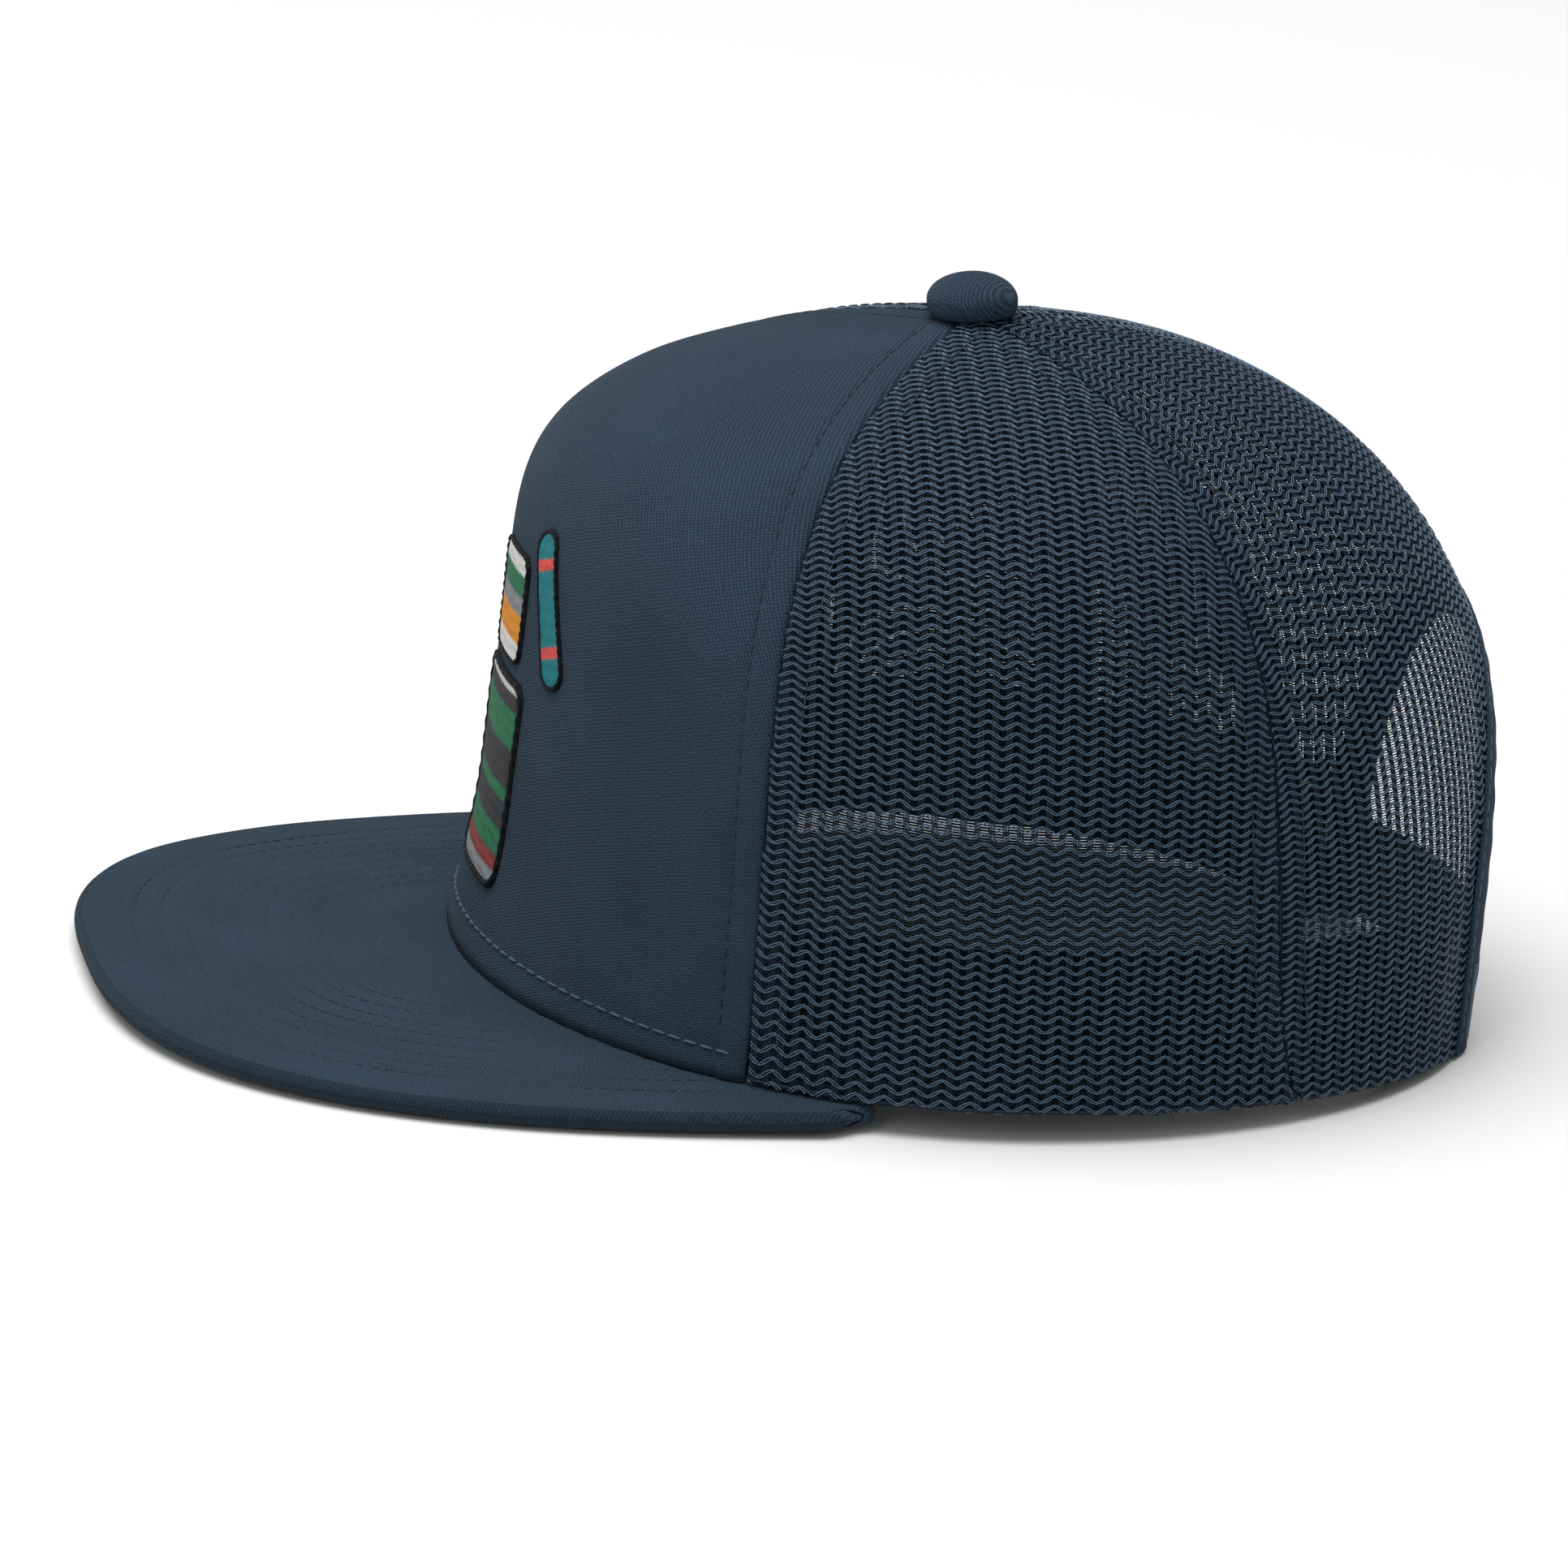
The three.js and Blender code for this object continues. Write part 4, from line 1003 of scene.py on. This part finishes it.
for name, side in (("left", 1), ("right", -1)):
    z = np.arange(3.2, 18.2, 0.42)
    th = np.full(len(z), ARCH_FOOT - 2.0)
    t = at_height(th, z)
    v, f, fl = capsules(off(side * th, t, 1.15), off(side * (th + 1), t, 1.0) - off(side * (th - 1), t, 1.0),
                        normal(side * th, t), 2.6, 0.24, sink=0.3)
    piece(f"{name}_strap_bartack", "cap", seam_thread, v, [f], fl, [f"{name}_strap_stitch"])


# ---- Embroidery -----------------------------------------------------------------------------
def outline(half_w, half_h, corner, steps):
    """A rounded rectangle as points round its middle, evenly spaced."""
    pts = []
    for cx, cz, start in ((1, -1, -90), (1, 1, 0), (-1, 1, 90), (-1, -1, 180)):
        for a in np.radians(start + np.linspace(0, 90, 24)):
            pts.append((cx * (half_w - corner) + corner * math.cos(a),
                        cz * (half_h - corner) + corner * math.sin(a)))
    pts = np.array(pts + pts[:1])
    run = run_along(pts)
    q = np.arange(steps) / steps * run[-1]
    return np.stack([np.interp(q, run, pts[:, k]) for k in (0, 1)], -1)


def thread_stripes(name, stops, low, high, dark):
    """Satin stitch in stripes of colour, with a dark corded edge."""
    n = Nodes(name)
    ragged = n.add(n.y, n.times(n.sine(n.x, 1.3), 0.25))
    colour = n.ramp(n.math("DIVIDE", n.math("SUBTRACT", ragged, low), high - low), stops)
    strands = n.sine(n.add(n.x, n.times(n.y, 0.12)), 0.55)
    rows = n.sine(n.add(n.y, n.times(n.sine(n.x, 9.0), 0.4)), 2.6)
    height = n.add(strands, n.times(rows, 0.7))
    shade = n.add(n.times(strands, 0.16), n.times(n.noise(1.2, 3), 0.7), clamp=True)
    toned = n.mix(shade, scaled((1, 1, 1), 0.62), scaled((1, 1, 1), 1.12))
    both = n.mix(1.0, colour, toned, "MULTIPLY")
    edge = n.math("GREATER_THAN", n.z, 0.93)
    return n.finish(n.mix(edge, both, dark), height, 0.6, 0.16, specular=0.12)


def embroider(name, material, node, x, z, half_w, half_h, corner, lean=0):
    """A raised pad of satin stitch with a corded edge, laid on the front cloth."""
    steps = 160
    ring = outline(half_w, half_h, corner, steps)
    lean = math.radians(lean)
    r = np.array([0.01, 0.12, 0.25, 0.38, 0.5, 0.62, 0.72, 0.8, 0.86, 0.9, 0.93, 0.945, 0.96, 0.98, 0.995, 1])
    high = np.array([0.7] * 9 + [0.66, 0.55, 0.8, 0.98, 0.86, 0.5, 0.0]) * 0.85
    local = ring[:, None] * r[None, :, None]
    px = x + local[..., 0] * math.cos(lean) + local[..., 1] * math.sin(lean)
    pz = z - local[..., 0] * math.sin(lean) + local[..., 1] * math.cos(lean)
    th, t = locate(px, pz, False)
    lift = front_relief(th, t)[0]
    cord = 0.1 * np.sin(np.arange(steps) * 2 * np.pi / 4)[:, None] * (r > 0.94)[None]
    satin = 0.05 * waves(np.dstack([local, 0 * px]), 2.2, 51)
    outer = off(th, t, lift + 0.1 + high[None] + cord + satin * (r < 0.93)[None])
    inner = off(th, t, lift - 0.05)
    index = grid_index(*px.shape)
    far = index + index.size
    rim = np.stack([index[:, -1], far[:, -1]], 1)
    top = closed_spokes(index)
    skin = np.concatenate([top, top[:, ::-1] + index.size, closed_spokes(rim)])
    flat = flat_grid(local[..., 0], local[..., 1], r[None])
    piece(name, "cap", material, np.concatenate([outer, inner]),
          [skin, index[None, :, 0], far[None, ::-1, 0]], flat, [node])


GREEN, CHARCOAL, TEAL, CORAL = rgb(34, 118, 80), rgb(52, 53, 57), rgb(30, 128, 134), rgb(228, 88, 80)
ORANGE, PALE, GREY, INK = rgb(236, 150, 34), rgb(232, 232, 228), rgb(140, 144, 148), rgb(14, 16, 20)
BRICK = rgb(140, 58, 52)
patch_thread = thread_stripes("patch_thread_satin", [
    (0.0, GREY), (0.1, BRICK), (0.17, GREEN), (0.3, CHARCOAL), (0.43, GREEN), (0.5, CHARCOAL),
    (0.68, GREEN), (0.86, CHARCOAL), (0.94, PALE)], -20, 20, INK)
bar_thread = thread_stripes("bar_thread_satin", [
    (0.0, PALE), (0.2, ORANGE), (0.45, GREY), (0.62, GREEN), (0.82, PALE)], -10.5, 10.5, INK)
pill_thread = thread_stripes("pill_thread_satin", [
    (0.0, TEAL), (0.2, CORAL), (0.27, TEAL), (0.74, CORAL), (0.81, TEAL)], -15, 15, INK)
embroider("embroidered_patch_satin", patch_thread, "embroidered_patch", 0, 41, 14.5, 20, 4)
embroider("embroidered_bar_satin", bar_thread, "embroidered_bar", 0, 74, 10, 10.5, 3)
embroider("embroidered_pill_satin", pill_thread, "embroidered_pill",
          20.5, 78, 3.5, 15, 3.5, -20)

# ---- Hidden CAD pieces that stay ------------------------------------------------------------
metal = plain_stuff("button_metal_brushed", rgb(170, 173, 176), 0.35, 0.02, 2.0, 1.0, True)
felt = plain_stuff("interlining_felt", rgb(226, 226, 222), 0.95, 0.2, 1.8, cad=True, contrast=0.1)
for node, material in (("button_shell", metal), ("button_rivet", metal), ("button_washer", metal),
                       ("sweatband_interlining", felt)):
    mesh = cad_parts[node].data
    mesh.materials.clear()
    mesh.materials.append(material)

# ---- Stage, light and camera ----------------------------------------------------------------
bpy.ops.mesh.primitive_plane_add(size=30, location=(0, 0, -0.0003))
floor = bpy.context.object
floor.name = "floor"
n = Nodes("floor_paper", True)
paper = n.mix(n.noise(0.002, 2), rgb(211, 211, 211), rgb(214, 214, 214))
floor.data.materials.append(n.finish(paper, n.noise(0.5, 2), 0.9, 0.01, specular=0.1))

scene = bpy.context.scene
scene.view_settings.view_transform = "Standard"
world = bpy.data.worlds.new("soft_studio")
scene.world = world
world.use_nodes = True
sky = world.node_tree
sky.nodes["Background"].inputs[0].default_value = (1, 1, 1, 1)
place, split = sky.nodes.new("ShaderNodeTexCoord"), sky.nodes.new("ShaderNodeSeparateXYZ")
level = sky.nodes.new("ShaderNodeMapRange")
level.inputs["From Min"].default_value, level.inputs["From Max"].default_value = -1.0, 1.0
level.inputs["To Min"].default_value, level.inputs["To Max"].default_value = 0.68, 0.32
sky.links.new(place.outputs["Generated"], split.inputs[0])
sky.links.new(split.outputs["Y"], level.inputs["Value"])
sky.links.new(level.outputs[0], sky.nodes["Background"].inputs[1])


def area_light(name, place, target, size, power):
    light = bpy.data.lights.new(name, "AREA")
    light.shape, light.size, light.energy = "DISK", size, power
    ob = bpy.data.objects.new(name, light)
    scene.collection.objects.link(ob)
    ob.location = place
    ob.rotation_euler = (Vector(target) - Vector(place)).to_track_quat("-Z", "Y").to_euler()


area_light("overhead", (0.1, -0.5, 3.2), (0, 0, 0), 3.4, 150)
area_light("front_fill", (1.4, -1.2, 1.0), (0, 0, 0.05), 1.0, 4)

AZ, EL, ROLL = (math.radians(a) for a in (76.44, 17.36, 4.76))
back = Vector((math.sin(AZ) * math.cos(EL), -math.cos(AZ) * math.cos(EL), math.sin(EL)))
right = (-back).cross(Vector((0, 0, 1))).normalized()
up = right.cross(-back)
right, up = right * math.cos(ROLL) + up * math.sin(ROLL), up * math.cos(ROLL) - right * math.sin(ROLL)
PHOTO_PIXELS, FOCAL_PIXELS, SENSOR, DISTANCE = 1932, 9899.8, 36, 1.5158
place = Vector((0, -0.0312, 0.0385)) + back * DISTANCE
camera = bpy.data.cameras.new("camera")
camera.sensor_width, camera.lens = SENSOR, FOCAL_PIXELS / PHOTO_PIXELS * SENSOR
camera.clip_start, camera.clip_end = 0.05, 30
eye = bpy.data.objects.new("camera", camera)
scene.collection.objects.link(eye)
turn = Matrix((right, up, back)).transposed().to_4x4()
eye.matrix_world = Matrix.Translation(place) @ turn
scene.camera = eye
